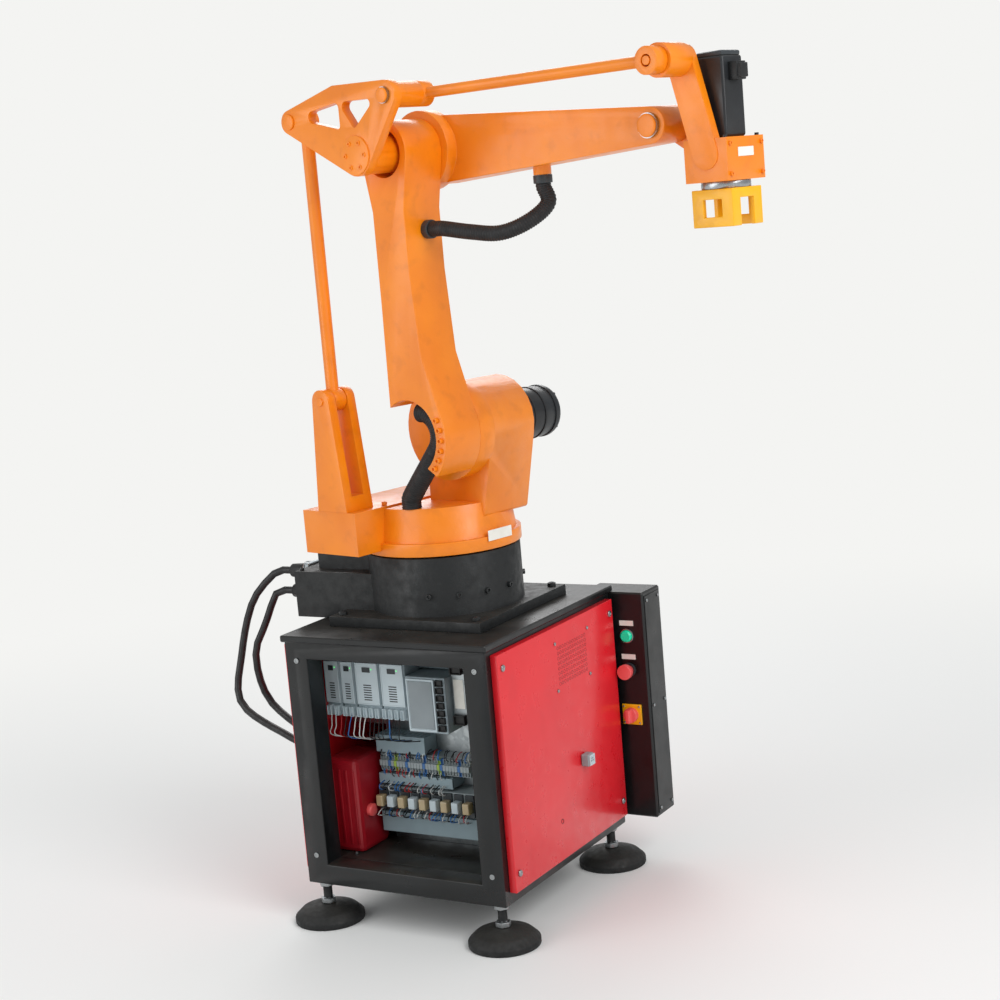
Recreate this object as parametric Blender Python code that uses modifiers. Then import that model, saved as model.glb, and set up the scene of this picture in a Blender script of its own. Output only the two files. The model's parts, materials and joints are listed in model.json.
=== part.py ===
"""Four-axis palletising robot arm on its control-cabinet pedestal.

World axes: +X along the cabinet's open front, +Y into its depth, +Z up. The arm's own axes, under the
J1 turntable, are X forward along the arm, Y sideways (plus is the far side) and Z up. All sizes in metres.
"""

import math

import bmesh
import bpy
from mathutils import Matrix, Vector

# Fits
GAP = 0.0003
PIN_CLEARANCE = 0.0004
OPEN_PIVOT_CLEARANCE = 0.0025
ROUND_SEGMENTS = 40
SMALL_SEGMENTS = 20
HULL_SEGMENTS = 24

# Cabinet
CABINET_WIDTH = 0.55
CABINET_DEPTH = 0.62
FRAME_BOTTOM = 0.10
FRAME_HEIGHT = 0.60
POST = 0.06
RAIL_TOP = 0.04
RAIL_BOTTOM = 0.05
TOP_PLATE_THICKNESS = 0.016
TOP_PLATE_OVERHANG = 0.008
FLOOR_PLATE_THICKNESS = 0.004
PANEL_DEPTH = 0.018
PANEL_WALL = 0.002
PANEL_SIDE_MARGIN = 0.022
PANEL_TOP_MARGIN = 0.012
PANEL_BOTTOM_MARGIN = 0.03
PANEL_TO_CONTROL_BOX = 0.004
FRAME_TOP = FRAME_BOTTOM + FRAME_HEIGHT
FLOOR_TOP = FRAME_BOTTOM + RAIL_BOTTOM
TABLE_TOP = FRAME_TOP + GAP + TOP_PLATE_THICKNESS

# Levelling feet
FOOT_RADIUS = 0.085
FOOT_RIM = 0.014
FOOT_DOME = 0.042
FOOT_BOSS_RADIUS = 0.024
STUD_RADIUS = 0.011

# Electrical bay behind the missing front panel
MOUNTING_PLATE_THICKNESS = 0.003
MOUNTING_PLATE_Y = -0.08
MOUNTING_PLATE_LEFT = -0.262
MOUNTING_PLATE_STEP_X = -0.165
MOUNTING_PLATE_STEP_Z = 0.44
MOUNTING_PLATE_RIGHT = 0.20
MOUNTING_PLATE_TOP = 0.655
MOUNTING_FLANGE = 0.03
DRIVE_BOTTOM = 0.492
DRIVE_HEIGHT = 0.14
DRIVE_DEPTH = 0.12
DRIVE_GAP = 0.004
DRIVE_WIDTHS = (0.044, 0.038, 0.068, 0.068)
DRIVE_LEFT = -0.246
CONTROLLER_WIDTH = 0.108
CONTROLLER_HEIGHT = 0.135
CONTROLLER_BOTTOM = 0.468
CONTROLLER_DEPTH = 0.125
FILTER_WIDTH = 0.037
FILTER_HEIGHT = 0.15
FILTER_BOTTOM = 0.485
FILTER_DEPTH = 0.10
DUCT_DEPTH = 0.055
TERMINAL_DEPTH = 0.045
RELAY_DEPTH = 0.062
TRANSFORMER_WIDTH = 0.094
TRANSFORMER_DEPTH = 0.12
TRANSFORMER_HEIGHT = 0.235
TRANSFORMER_X = -0.218
TRANSFORMER_Y = -0.155

# Control box bolted to the cabinet's back, standing out past its right side
CONTROL_BOX_PAST_SIDE = 0.092
CONTROL_BOX_BEHIND = 0.075
CONTROL_BOX_DEPTH = 0.10
CONTROL_BOX_BOTTOM = 0.12
CONTROL_BOX_TOP = FRAME_TOP
BUTTON_X_FROM_SIDE = 0.043
LAMP_Z = 0.59
LAMP_RADIUS = 0.015
STOP_Z = 0.503
STOP_RADIUS = 0.019
SWITCH_Z = 0.388
SWITCH_PLATE = 0.052
INLET_Y = 0.079
INLET_Z = 0.339
INLET_SIZE = 0.03
INLET_DEPTH = 0.022

# Robot base
BASE_RADIUS = 0.185
BASE_TOP = 0.880
BEARING_RADIUS = 0.165
BEARING_RISE = 0.005
BASE_FLANGE_SIZE = 0.42
BASE_FLANGE_THICKNESS = 0.024
BASE_BOX_REAR = -0.36
BASE_BOX_WIDTH = 0.26
BASE_BOX_TOP = 0.83
BASE_BLOCK_REAR = -0.315
BASE_BLOCK_WIDTH = 0.17
BASE_BLOCK_TOP = 0.868
CONNECTOR_PLATE_SIZE = (0.014, 0.13, 0.10)
CONNECTOR_PLATE_Z = 0.786
PLUG_RADIUS = 0.021
PLUG_LENGTH = 0.062
PLUG_Y = -0.03
PLUG_ZS = (0.81, 0.758)
CABLE_RADIUS = 0.0095
GLAND_RADIUS = 0.016
GLAND_LENGTH = 0.022
GLAND_Z = 0.40
GLAND_YS = (-0.16, -0.10)

# Arm geometry
REST_TURN = math.radians(-13.0)
SHOULDER_A = 0.11
SHOULDER_Z = 1.17
LOWER_LENGTH = 0.64
FORE_LENGTH = 0.64
LINK_BACK = -0.21
LINK_BACK_RISE = 0.09
LINK_FRONT = 0.105
LINK_FRONT_RISE = 0.12

# Turret
TURRET_RING_RADIUS = 0.19
TURRET_RING_HEIGHT = 0.03
DECK_TOP = 1.0
DECK_RADIUS = 0.18
DECK_TAPER = 0.012
DECK_STEP = 0.005
DECK_SINK = 0.004
REAR_BLOCK_BACK = -0.20
REAR_BLOCK_FRONT = -0.02
REAR_BLOCK_NEAR = -0.262
REAR_BLOCK_FAR = 0.12
REAR_BLOCK_LIFT = 0.012
TOWER_NEAR = -0.03
TOWER_FAR = 0.12
TOWER_HALF = 0.10
SHOULDER_DRUM_RADIUS = 0.108
SHOULDER_FLANGE_RADIUS = 0.1175
J2_MOTOR_RADIUS = 0.062
J2_MOTOR_LENGTH = 0.15
BRACKET_WIDTH = 0.085
BRACKET_SLOT = 0.038
BRACKET_BASE = 0.11
BRACKET_EYE_RADIUS = 0.028
BRACKET_WEB = 0.035

# Lower arm
LOWER_ARM_N = -0.1325
LOWER_ARM_THICKNESS = 0.115
LOWER_ARM_WAIST = 0.05
LOWER_ARM_WAIST_Z = 0.30
LOWER_ARM_TOP_RADIUS = 0.072
LOWER_ARM_FOOT_RADIUS = 0.118
NOTCH_RADIUS = 0.086
HUB_RECESS_RADIUS = 0.054
HUB_RECESS_DEPTH = 0.05
SHOULDER_HOSE_RADIUS = 0.02

# Levelling linkage
PIN_RADIUS = 0.010
PIN_CAP_RADIUS = 0.018
PIN_CAP_THICKNESS = 0.006
REAR_ROD_N = -0.22
REAR_ROD_RADIUS = 0.015
REAR_ROD_EYE_RADIUS = 0.027
REAR_ROD_EYE_THICKNESS = 0.034
ELBOW_LINK_N = -0.26
ELBOW_LINK_THICKNESS = 0.024
LINK_HUB_RADIUS = 0.043
LINK_HUB_RIM = 0.003
LINK_EYE_RADIUS = 0.026
LINK_FRONT_EYE_RADIUS = 0.032
UPPER_ROD_N = -0.16
UPPER_ROD_RADIUS = 0.012
UPPER_ROD_EYE_RADIUS = 0.028
UPPER_ROD_EYE_THICKNESS = 0.034

# Forearm and wrist
FOREARM_THICKNESS = 0.09
FOREARM_ROOT_RADIUS = 0.078
FOREARM_END_RADIUS = 0.038
FOREARM_FLANGE_RADIUS = 0.09
FOREARM_FLANGE_THICKNESS = 0.042
WRIST_PIN_RADIUS = 0.014
J3_MOTOR_SIZE = 0.086
J3_MOTOR_LENGTH = 0.12
WRIST_LUG_THICKNESS = 0.026
WRIST_LUG_RADIUS = 0.036
LEVEL_PLATE_THICKNESS = 0.02
LEVEL_PLATE_WIDTH = 0.062
LEVEL_BOSS_RADIUS = 0.034
HEAD_A = 0.155
HEAD_N = -0.008
HEAD_LENGTH = 0.105
HEAD_WIDTH = 0.125
HEAD_TOP = -0.04
HEAD_HEIGHT = 0.085
J4_MOTOR_SIZE = 0.068
J4_MOTOR_HEIGHT = 0.16
TOOL_FLANGE_RADIUS = 0.05
TOOL_FLANGE_THICKNESS = 0.014
TOOL_BRACKET_SIZE = 0.10
TOOL_BRACKET_HEIGHT = 0.075
TOOL_BRACKET_WALL = 0.01
TOOL_WINDOW = 0.045
ELBOW_HOSE_RADIUS = 0.015
HOSE_SOCKET_RADIUS = 0.02
HOSE_SOCKET_A = 0.30
HOSE_SOCKET_DROP = 0.078

PART_COLLECTION = "palletising_robot"
CUTTER_COLLECTION = "cutters"


def clear_scene():
    """Remove every object that the file holds."""
    for thing in list(bpy.data.objects):
        bpy.data.objects.remove(thing, do_unlink=True)


def collection(name):
    """Return the named collection, linked to the scene."""
    found = bpy.data.collections.get(name)
    if found is None:
        found = bpy.data.collections.new(name)
        bpy.context.scene.collection.children.link(found)
    return found


def linear(channel):
    """Turn one sRGB channel of 0 to 1 into linear light."""
    if channel <= 0.04045:
        return channel / 12.92
    return ((channel + 0.055) / 1.055) ** 2.4


def material(name, hex_colour, roughness, metallic=0.0):
    """Make a Principled material from an sRGB hex colour."""
    made = bpy.data.materials.get(name) or bpy.data.materials.new(name)
    made.use_nodes = True
    shader = made.node_tree.nodes["Principled BSDF"]
    channels = [linear(int(hex_colour[i:i + 2], 16) / 255) for i in (0, 2, 4)]
    shader.inputs["Base Color"].default_value = (*channels, 1.0)
    shader.inputs["Roughness"].default_value = roughness
    shader.inputs["Metallic"].default_value = metallic
    return made


def empty(name, parent, location, turn=0.0):
    """Make an empty that carries a body and marks its joint axis."""
    made = bpy.data.objects.new(name, None)
    made.empty_display_size = 0.05
    collection(PART_COLLECTION).objects.link(made)
    made.parent = parent
    made.location = location
    made.rotation_euler.z = turn
    return made


def place(name, mesh, parent, look=None):
    """Make an object of a mesh; without a look it is a cutter or a shape to be joined."""
    made = bpy.data.objects.new(name, mesh)
    made.parent = parent
    if look is None:
        made.hide_render = True
        made.display_type = "WIRE"
        collection(CUTTER_COLLECTION).objects.link(made)
    else:
        mesh.materials.append(look)
        collection(PART_COLLECTION).objects.link(made)
    return made


def mesh_from(build):
    """Return a mesh filled by a function that takes a bmesh."""
    made = bpy.data.meshes.new("shape")
    cage = bmesh.new()
    build(cage)
    bmesh.ops.recalc_face_normals(cage, faces=cage.faces)
    cage.to_mesh(made)
    cage.free()
    return made


def smooth(mesh, degrees=35):
    """Shade a round mesh smooth and keep its edges sharp."""
    mesh.shade_smooth()
    mesh.set_sharp_from_angle(angle=math.radians(degrees))
    return mesh


def box_mesh(size, centre):
    """A box of a size about a centre."""
    matrix = Matrix.Translation(centre) @ Matrix.Diagonal((*size, 1.0))
    return mesh_from(lambda cage: bmesh.ops.create_cube(cage, size=1.0, matrix=matrix))


def span_mesh(low, high):
    """A box between two opposite corners."""
    size = [b - a for a, b in zip(low, high)]
    centre = [(a + b) / 2 for a, b in zip(low, high)]
    return box_mesh(size, centre)


AXIS_TURNS = {
    "X": Matrix.Rotation(math.pi / 2, 4, "Y"),
    "Y": Matrix.Rotation(-math.pi / 2, 4, "X"),
    "Z": Matrix.Identity(4),
}


def rod_mesh(radius, start, length, axis, end_radius=None, segments=ROUND_SEGMENTS):
    """A cylinder or cone from a start point along an axis."""
    turn = AXIS_TURNS[axis]
    middle = Vector(start) + turn.to_3x3() @ Vector((0, 0, length / 2))
    last = radius if end_radius is None else end_radius

    def build(cage):
        bmesh.ops.create_cone(cage, cap_ends=True, segments=segments, radius1=radius, radius2=last,
                              depth=length, matrix=Matrix.Translation(middle) @ turn)

    return smooth(mesh_from(build))


def across_mesh(radius, a, z, near, far, segments=ROUND_SEGMENTS):
    """A cylinder across the arm, between two sideways places."""
    return rod_mesh(radius, (a, near, z), far - near, "Y", segments=segments)


def arc(a, z, radius, first, last, steps):
    """Points along an arc, with angles in degrees from the forward direction."""
    points = []
    for i in range(steps + 1):
        angle = math.radians(first + (last - first) * i / steps)
        points.append((a + radius * math.cos(angle), z + radius * math.sin(angle)))
    return points


def cross(origin, p, q):
    """Twice the signed area of a triangle."""
    return (p[0] - origin[0]) * (q[1] - origin[1]) - (p[1] - origin[1]) * (q[0] - origin[0])


def hull(circles, segments=HULL_SEGMENTS):
    """The outline that a taut belt takes round circles given as (a, z, radius)."""
    points = sorted({(round(p[0], 6), round(p[1], 6)) for c in circles for p in arc(*c, 0, 360, segments)})
    chains = []
    for ordered in (points, points[::-1]):
        chain = []
        for point in ordered:
            while len(chain) > 1 and cross(chain[-2], chain[-1], point) <= 1e-9:
                chain.pop()
            chain.append(point)
        chains.append(chain[:-1])
    return chains[0] + chains[1]


def outline_mesh(outline, near, far, holes=()):
    """A flat outline in the arm's plane, given thickness sideways between near and far."""
    curve = bpy.data.curves.new("outline", "CURVE")
    curve.dimensions = "2D"
    curve.fill_mode = "BOTH"
    curve.extrude = (far - near) / 2
    for loop in (outline, *holes):
        spline = curve.splines.new("POLY")
        spline.points.add(len(loop) - 1)
        for point, (a, z) in zip(spline.points, loop):
            point.co = (a, z, 0.0, 1.0)
        spline.use_cyclic_u = True
    return curve_to_mesh(curve, Matrix.Translation((0, (near + far) / 2, 0)) @ Matrix.Rotation(math.pi / 2, 4, "X"))


def curve_to_mesh(curve, matrix):
    """Turn a curve into a welded mesh and remove the curve."""
    guide = bpy.data.objects.new("guide", curve)
    collection(CUTTER_COLLECTION).objects.link(guide)
    graph = bpy.context.evaluated_depsgraph_get()
    made = bpy.data.meshes.new_from_object(guide.evaluated_get(graph))
    made.transform(matrix)
    cage = bmesh.new()
    cage.from_mesh(made)
    bmesh.ops.remove_doubles(cage, verts=cage.verts, dist=0.00001)
    bmesh.ops.recalc_face_normals(cage, faces=cage.faces)
    cage.to_mesh(made)
    cage.free()
    bpy.data.objects.remove(guide, do_unlink=True)
    return made


def boolean(target, operation, meshes):
    """Cut meshes from an object or join them to it."""
    for i, mesh in enumerate(meshes):
        tool = place(f"{target.name}_{operation.lower()}_{i}", mesh, target.parent)
        step = target.modifiers.new(f"{operation.title()} {i}", "BOOLEAN")
        step.operation = operation
        step.object = tool


def cut(target, *meshes):
    """Cut meshes from an object."""
    boolean(target, "DIFFERENCE", meshes)


def join(target, *meshes):
    """Join meshes to an object."""
    boolean(target, "UNION", meshes)


def soften(target, width, segments=1, angle=40):
    """Round an object's sharp edges."""
    bevel = target.modifiers.new("Rounded edges", "BEVEL")
    bevel.width = width
    bevel.segments = segments
    bevel.limit_method = "ANGLE"
    bevel.angle_limit = math.radians(angle)


def smooth_path(points, spacing):
    """Points at an even spacing along a smooth curve through route points, straight at both ends."""
    route = [Vector(p) for p in points]
    dense = []
    for before, start, stop, after in zip(route, route[1:], route[2:], route[3:]):
        steps = max(4, int((stop - start).length / spacing * 3))
        for i in range(steps):
            t = i / steps
            dense.append(0.5 * (2 * start + (stop - before) * t
                                + (2 * before - 5 * start + 4 * stop - after) * t ** 2
                                + (3 * start - before - 3 * stop + after) * t ** 3))
    chosen = route[:2]
    for point in dense[1:]:
        if (point - chosen[-1]).length >= spacing and (point - route[-2]).length >= spacing * 0.6:
            chosen.append(point)
    return [*chosen, *route[-2:]]


def tube(name, points, radius, parent, look, resolution=3):
    """A round tube along a smooth curve through the points."""
    curve = bpy.data.curves.new(name, "CURVE")
    curve.dimensions = "3D"
    curve.bevel_depth = radius
    curve.bevel_resolution = resolution
    curve.use_fill_caps = True
    path = smooth_path(points, radius * 3)
    spline = curve.splines.new("POLY")
    spline.points.add(len(path) - 1)
    for point, place_at in zip(spline.points, path):
        point.co = (*place_at, 1.0)
    curve.materials.append(look)
    made = bpy.data.objects.new(name, curve)
    made.parent = parent
    collection(PART_COLLECTION).objects.link(made)
    return made


def make_looks():
    """All the materials, by what they are."""
    return {
        "orange": material("orange_paint", "F5861A", 0.35),
        "black": material("black_paint", "101214", 0.45),
        "casting": material("black_casting", "15181A", 0.55),
        "red": material("red_panel", "E01E2A", 0.35),
        "dark_red": material("transformer_red", "A81420", 0.5),
        "steel": material("zinc_steel", "9AA0A2", 0.35, 0.9),
        "grey": material("grey_plastic", "8B979B", 0.5),
        "blue_grey": material("duct_plastic", "73858D", 0.55),
        "rubber": material("black_rubber", "0C0C0D", 0.7),
        "motor": material("motor_black", "17191B", 0.4),
        "yellow": material("yellow_paint", "FFBE00", 0.4),
        "lamp": material("green_lens", "00C86E", 0.2),
        "button": material("red_button", "D21B1B", 0.35),
        "pin": material("bright_steel", "B4B6B8", 0.25, 1.0),
    }


def make_feet(root, looks):
    """Four round levelling pads under the corner posts, each with its stud."""
    profile = [
        (0.0, 0.0), (FOOT_RADIUS, 0.0), (FOOT_RADIUS, FOOT_RIM), (FOOT_RADIUS * 0.8, FOOT_DOME * 0.72),
        (FOOT_BOSS_RADIUS * 1.4, FOOT_DOME * 0.95), (FOOT_BOSS_RADIUS, FOOT_DOME),
        (STUD_RADIUS, FOOT_DOME), (STUD_RADIUS, FRAME_BOTTOM - GAP), (0.0, FRAME_BOTTOM - GAP),
    ]
    corner_x = (CABINET_WIDTH - POST) / 2
    corner_y = (CABINET_DEPTH - POST) / 2
    sides = {"front_left": (-1, -1), "front_right": (1, -1), "back_left": (-1, 1), "back_right": (1, 1)}
    for name, (sx, sy) in sides.items():
        mesh = bpy.data.meshes.new("foot")
        rim = [(radius, 0.0, height) for radius, height in profile[::-1]]
        mesh.from_pydata(rim, [(i, i + 1) for i in range(len(rim) - 1)], [])
        foot = place(f"foot_{name}", mesh, root, looks["black"])
        foot.location = (sx * corner_x, sy * corner_y, 0)
        spin = foot.modifiers.new("Turned", "SCREW")
        spin.steps = ROUND_SEGMENTS
        spin.render_steps = ROUND_SEGMENTS
        spin.use_merge_vertices = True
        spin.merge_threshold = 0.00005


def make_cabinet_frame(root, looks):
    """The welded frame: corner posts with rails at the top and the bottom."""
    half_x = CABINET_WIDTH / 2
    half_y = CABINET_DEPTH / 2
    frame = place("cabinet_frame", span_mesh((-half_x, -half_y, FRAME_BOTTOM), (half_x, half_y, FRAME_TOP)),
                  root, looks["black"])
    low, high = FLOOR_TOP, FRAME_TOP - RAIL_TOP
    cut(frame,
        span_mesh((-half_x - 1, -half_y + POST, low), (half_x + 1, half_y - POST, high)),
        span_mesh((-half_x + POST, -half_y - 1, low), (half_x - POST, half_y + 1, high)),
        span_mesh((-half_x + POST, -half_y + POST, 0), (half_x - POST, half_y - POST, 1)))
    plate_x = half_x + TOP_PLATE_OVERHANG
    plate_y = half_y + TOP_PLATE_OVERHANG
    top = place("top_plate", span_mesh((-plate_x, -plate_y, FRAME_TOP + GAP), (plate_x, plate_y, TABLE_TOP)),
                root, looks["black"])
    soften(top, 0.003)
    inner_x = half_x - POST - GAP
    inner_y = half_y - POST - GAP
    place("floor_plate", span_mesh((-inner_x, -inner_y, FLOOR_TOP - FLOOR_PLATE_THICKNESS), (inner_x, inner_y, FLOOR_TOP)),
          root, looks["black"])


def tray(name, left, right, normal, offset, root, look):
    """A folded sheet panel on one side of the frame, open towards the frame, with its edges as seen from outside."""
    bottom = FRAME_BOTTOM + PANEL_BOTTOM_MARGIN
    top = FRAME_TOP - PANEL_TOP_MARGIN
    mesh = span_mesh((left, -PANEL_DEPTH, bottom), (right, 0, top))
    pocket = span_mesh((left + PANEL_WALL, -PANEL_DEPTH + PANEL_WALL, bottom + PANEL_WALL),
                       (right - PANEL_WALL, 0.01, top - PANEL_WALL))
    turn = {"left": -math.pi / 2, "back": math.pi, "right": math.pi / 2}[normal]
    carrier = Matrix.Rotation(turn, 4, "Z") @ Matrix.Translation((0, -offset - GAP, 0))
    mesh.transform(carrier)
    pocket.transform(carrier)
    panel = place(name, mesh, root, look)
    cut(panel, pocket)
    return panel


def make_panels(root, looks):
    """Red panels on the left, back and right; the front one is off."""
    side_edge = CABINET_DEPTH / 2 - PANEL_SIDE_MARGIN
    back_edge = CABINET_WIDTH / 2 - PANEL_SIDE_MARGIN
    control_box_edge = CABINET_WIDTH / 2 - CONTROL_BOX_BEHIND - PANEL_TO_CONTROL_BOX
    tray("panel_left", -side_edge, side_edge, "left", CABINET_WIDTH / 2, root, looks["red"])
    tray("panel_right", -side_edge, side_edge, "right", CABINET_WIDTH / 2, root, looks["red"])
    tray("panel_back", -control_box_edge, back_edge, "back", CABINET_DEPTH / 2, root, looks["red"])


def bay_box(name, left, right, bottom, top, depth, root, look, bevel=0.0015):
    """A device on the front of the mounting plate."""
    back = MOUNTING_PLATE_Y - GAP
    made = place(name, span_mesh((left, back - depth, bottom), (right, back, top)), root, look)
    soften(made, bevel)
    return made


def make_bay(root, looks):
    """The mounting plate with drives, controller, ducts, terminals, relays and transformer."""
    plate_outline = [
        (MOUNTING_PLATE_STEP_X, FLOOR_TOP + GAP), (MOUNTING_PLATE_RIGHT, FLOOR_TOP + GAP),
        (MOUNTING_PLATE_RIGHT, MOUNTING_PLATE_TOP), (MOUNTING_PLATE_LEFT, MOUNTING_PLATE_TOP),
        (MOUNTING_PLATE_LEFT, MOUNTING_PLATE_STEP_Z), (MOUNTING_PLATE_STEP_X, MOUNTING_PLATE_STEP_Z),
    ]
    plate = place("mounting_plate",
                  outline_mesh(plate_outline, MOUNTING_PLATE_Y, MOUNTING_PLATE_Y + MOUNTING_PLATE_THICKNESS),
                  root, looks["steel"])
    flange_low = (MOUNTING_PLATE_STEP_X, MOUNTING_PLATE_Y, FLOOR_TOP + GAP)
    flange_high = (MOUNTING_PLATE_RIGHT, MOUNTING_PLATE_Y + MOUNTING_FLANGE, FLOOR_TOP + GAP + MOUNTING_PLATE_THICKNESS)
    join(plate, span_mesh(flange_low, flange_high))
    left = DRIVE_LEFT
    for i, width in enumerate(DRIVE_WIDTHS):
        bay_box(f"servo_drive_{i + 1}", left, left + width, DRIVE_BOTTOM, DRIVE_BOTTOM + DRIVE_HEIGHT,
                DRIVE_DEPTH, root, looks["grey"])
        left += width + DRIVE_GAP
    bay_box("motion_controller", left, left + CONTROLLER_WIDTH, CONTROLLER_BOTTOM,
            CONTROLLER_BOTTOM + CONTROLLER_HEIGHT, CONTROLLER_DEPTH, root, looks["grey"])
    bay_box("upper_duct", left, left + CONTROLLER_WIDTH, CONTROLLER_BOTTOM + CONTROLLER_HEIGHT + DRIVE_GAP,
            MOUNTING_PLATE_TOP - DRIVE_GAP, DUCT_DEPTH, root, looks["blue_grey"])
    left += CONTROLLER_WIDTH + DRIVE_GAP
    bay_box("line_filter", left, left + FILTER_WIDTH, FILTER_BOTTOM, FILTER_BOTTOM + FILTER_HEIGHT,
            FILTER_DEPTH, root, looks["steel"])
    bay_box("middle_duct", -0.16, -0.02, 0.388, 0.43, DUCT_DEPTH, root, looks["blue_grey"])
    bay_box("terminal_row", -0.16, 0.115, 0.338, 0.384, TERMINAL_DEPTH, root, looks["grey"])
    bay_box("lower_duct", -0.16, 0.05, 0.308, 0.333, DUCT_DEPTH, root, looks["blue_grey"])
    bay_box("relay_row", -0.16, 0.115, 0.242, 0.302, RELAY_DEPTH, root, looks["grey"])
    bay_box("bottom_duct", -0.162, 0.14, 0.186, 0.236, DUCT_DEPTH, root, looks["blue_grey"])
    half_w = TRANSFORMER_WIDTH / 2
    half_d = TRANSFORMER_DEPTH / 2
    low = (TRANSFORMER_X - half_w, TRANSFORMER_Y - half_d, FLOOR_TOP + GAP)
    high = (TRANSFORMER_X + half_w, TRANSFORMER_Y + half_d, FLOOR_TOP + TRANSFORMER_HEIGHT)
    transformer = place("transformer", span_mesh(low, high), root, looks["dark_red"])
    soften(transformer, 0.012, 2)


def make_controls(root, looks):
    """The control box with its lamp, stop button and rotary switch, and the power inlet."""
    side = CABINET_WIDTH / 2
    back = CABINET_DEPTH / 2 + GAP
    low = (side - CONTROL_BOX_BEHIND, back, CONTROL_BOX_BOTTOM)
    high = (side + CONTROL_BOX_PAST_SIDE, back + CONTROL_BOX_DEPTH, CONTROL_BOX_TOP)
    control_box = place("control_box", span_mesh(low, high), root, looks["black"])
    soften(control_box, 0.004)
    button_x = side + BUTTON_X_FROM_SIDE
    front = back - GAP
    lamp = place("power_lamp", rod_mesh(LAMP_RADIUS, (button_x, front - 0.012, LAMP_Z), 0.012, "Y",
                                        segments=SMALL_SEGMENTS), root, looks["lamp"])
    soften(lamp, 0.003)
    stop = place("stop_button", rod_mesh(STOP_RADIUS * 0.62, (button_x, front - 0.022, STOP_Z), 0.022, "Y",
                                         segments=SMALL_SEGMENTS), root, looks["button"])
    join(stop, rod_mesh(STOP_RADIUS, (button_x, front - 0.034, STOP_Z), 0.016, "Y", segments=SMALL_SEGMENTS))
    half = SWITCH_PLATE / 2
    switch = place("rotary_switch",
                   span_mesh((button_x - half, front - 0.005, SWITCH_Z - half), (button_x + half, front, SWITCH_Z + half)),
                   root, looks["yellow"])
    join(switch, rod_mesh(half * 0.72, (button_x, front - 0.018, SWITCH_Z), 0.015, "Y", segments=SMALL_SEGMENTS),
         span_mesh((button_x - 0.007, front - 0.034, SWITCH_Z - half * 0.7),
                   (button_x + 0.007, front - 0.016, SWITCH_Z + half * 0.7)))
    panel_face = side + PANEL_DEPTH + 2 * GAP
    size = INLET_SIZE / 2
    inlet = place("power_inlet", span_mesh((panel_face, INLET_Y - size, INLET_Z - size),
                                           (panel_face + INLET_DEPTH, INLET_Y + size, INLET_Z + size)),
                  root, looks["grey"])
    soften(inlet, 0.003)


def make_base(root, looks):
    """The fixed base casting with its rear connector box."""
    bottom = TABLE_TOP + GAP
    half = BASE_FLANGE_SIZE / 2
    base = place("robot_base", rod_mesh(BASE_RADIUS, (0, 0, bottom), BASE_TOP - bottom, "Z"), root, looks["casting"])
    join(base,
         rod_mesh(BEARING_RADIUS, (0, 0, BASE_TOP - 0.02), 0.02 + BEARING_RISE, "Z"),
         span_mesh((-half, -half, bottom), (half, half, bottom + BASE_FLANGE_THICKNESS)),
         span_mesh((BASE_BOX_REAR, -BASE_BOX_WIDTH / 2, bottom), (0, BASE_BOX_WIDTH / 2, BASE_BOX_TOP)),
         span_mesh((BASE_BLOCK_REAR, -BASE_BLOCK_WIDTH / 2, BASE_BOX_TOP - 0.01), (0, BASE_BLOCK_WIDTH / 2, BASE_BLOCK_TOP)))
    depth, width, height = CONNECTOR_PLATE_SIZE
    plate_far = BASE_BOX_REAR - GAP
    plate = place("connector_plate",
                  box_mesh((depth, width, height), (plate_far - depth / 2, 0, CONNECTOR_PLATE_Z)), root, looks["steel"])
    soften(plate, 0.002)
    plug_face = plate_far - depth - GAP
    left_face = -CABINET_WIDTH / 2 - PANEL_DEPTH - 2 * GAP
    for i, (plug_z, gland_y) in enumerate(zip(PLUG_ZS, GLAND_YS)):
        number = i + 1
        place(f"cable_plug_{number}",
              rod_mesh(PLUG_RADIUS * 0.8, (plug_face - PLUG_LENGTH, PLUG_Y, plug_z), PLUG_LENGTH, "X",
                       end_radius=PLUG_RADIUS, segments=SMALL_SEGMENTS), root, looks["rubber"])
        place(f"cable_gland_{number}",
              rod_mesh(GLAND_RADIUS, (left_face - GLAND_LENGTH, gland_y, GLAND_Z), GLAND_LENGTH, "X",
                       segments=SMALL_SEGMENTS), root, looks["grey"])
        start = plug_face - PLUG_LENGTH - GAP
        end = left_face - GLAND_LENGTH - GAP
        bow = 0.10 + 0.045 * (1 - i)
        route = [
            (start, PLUG_Y, plug_z), (start - 0.03, PLUG_Y, plug_z), (start - 0.058, PLUG_Y - 0.004, plug_z - 0.010),
            (start - bow * 0.8, PLUG_Y - 0.03, plug_z - 0.08), (start - bow, PLUG_Y - 0.06, 0.60),
            (start - bow * 0.9, gland_y + 0.03, 0.48), (end - 0.085, gland_y, GLAND_Z + 0.012),
            (end - 0.06, gland_y, GLAND_Z), (end - 0.03, gland_y, GLAND_Z), (end, gland_y, GLAND_Z),
        ]
        tube(f"motor_cable_{number}", route, CABLE_RADIUS, root, looks["rubber"])


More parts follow.
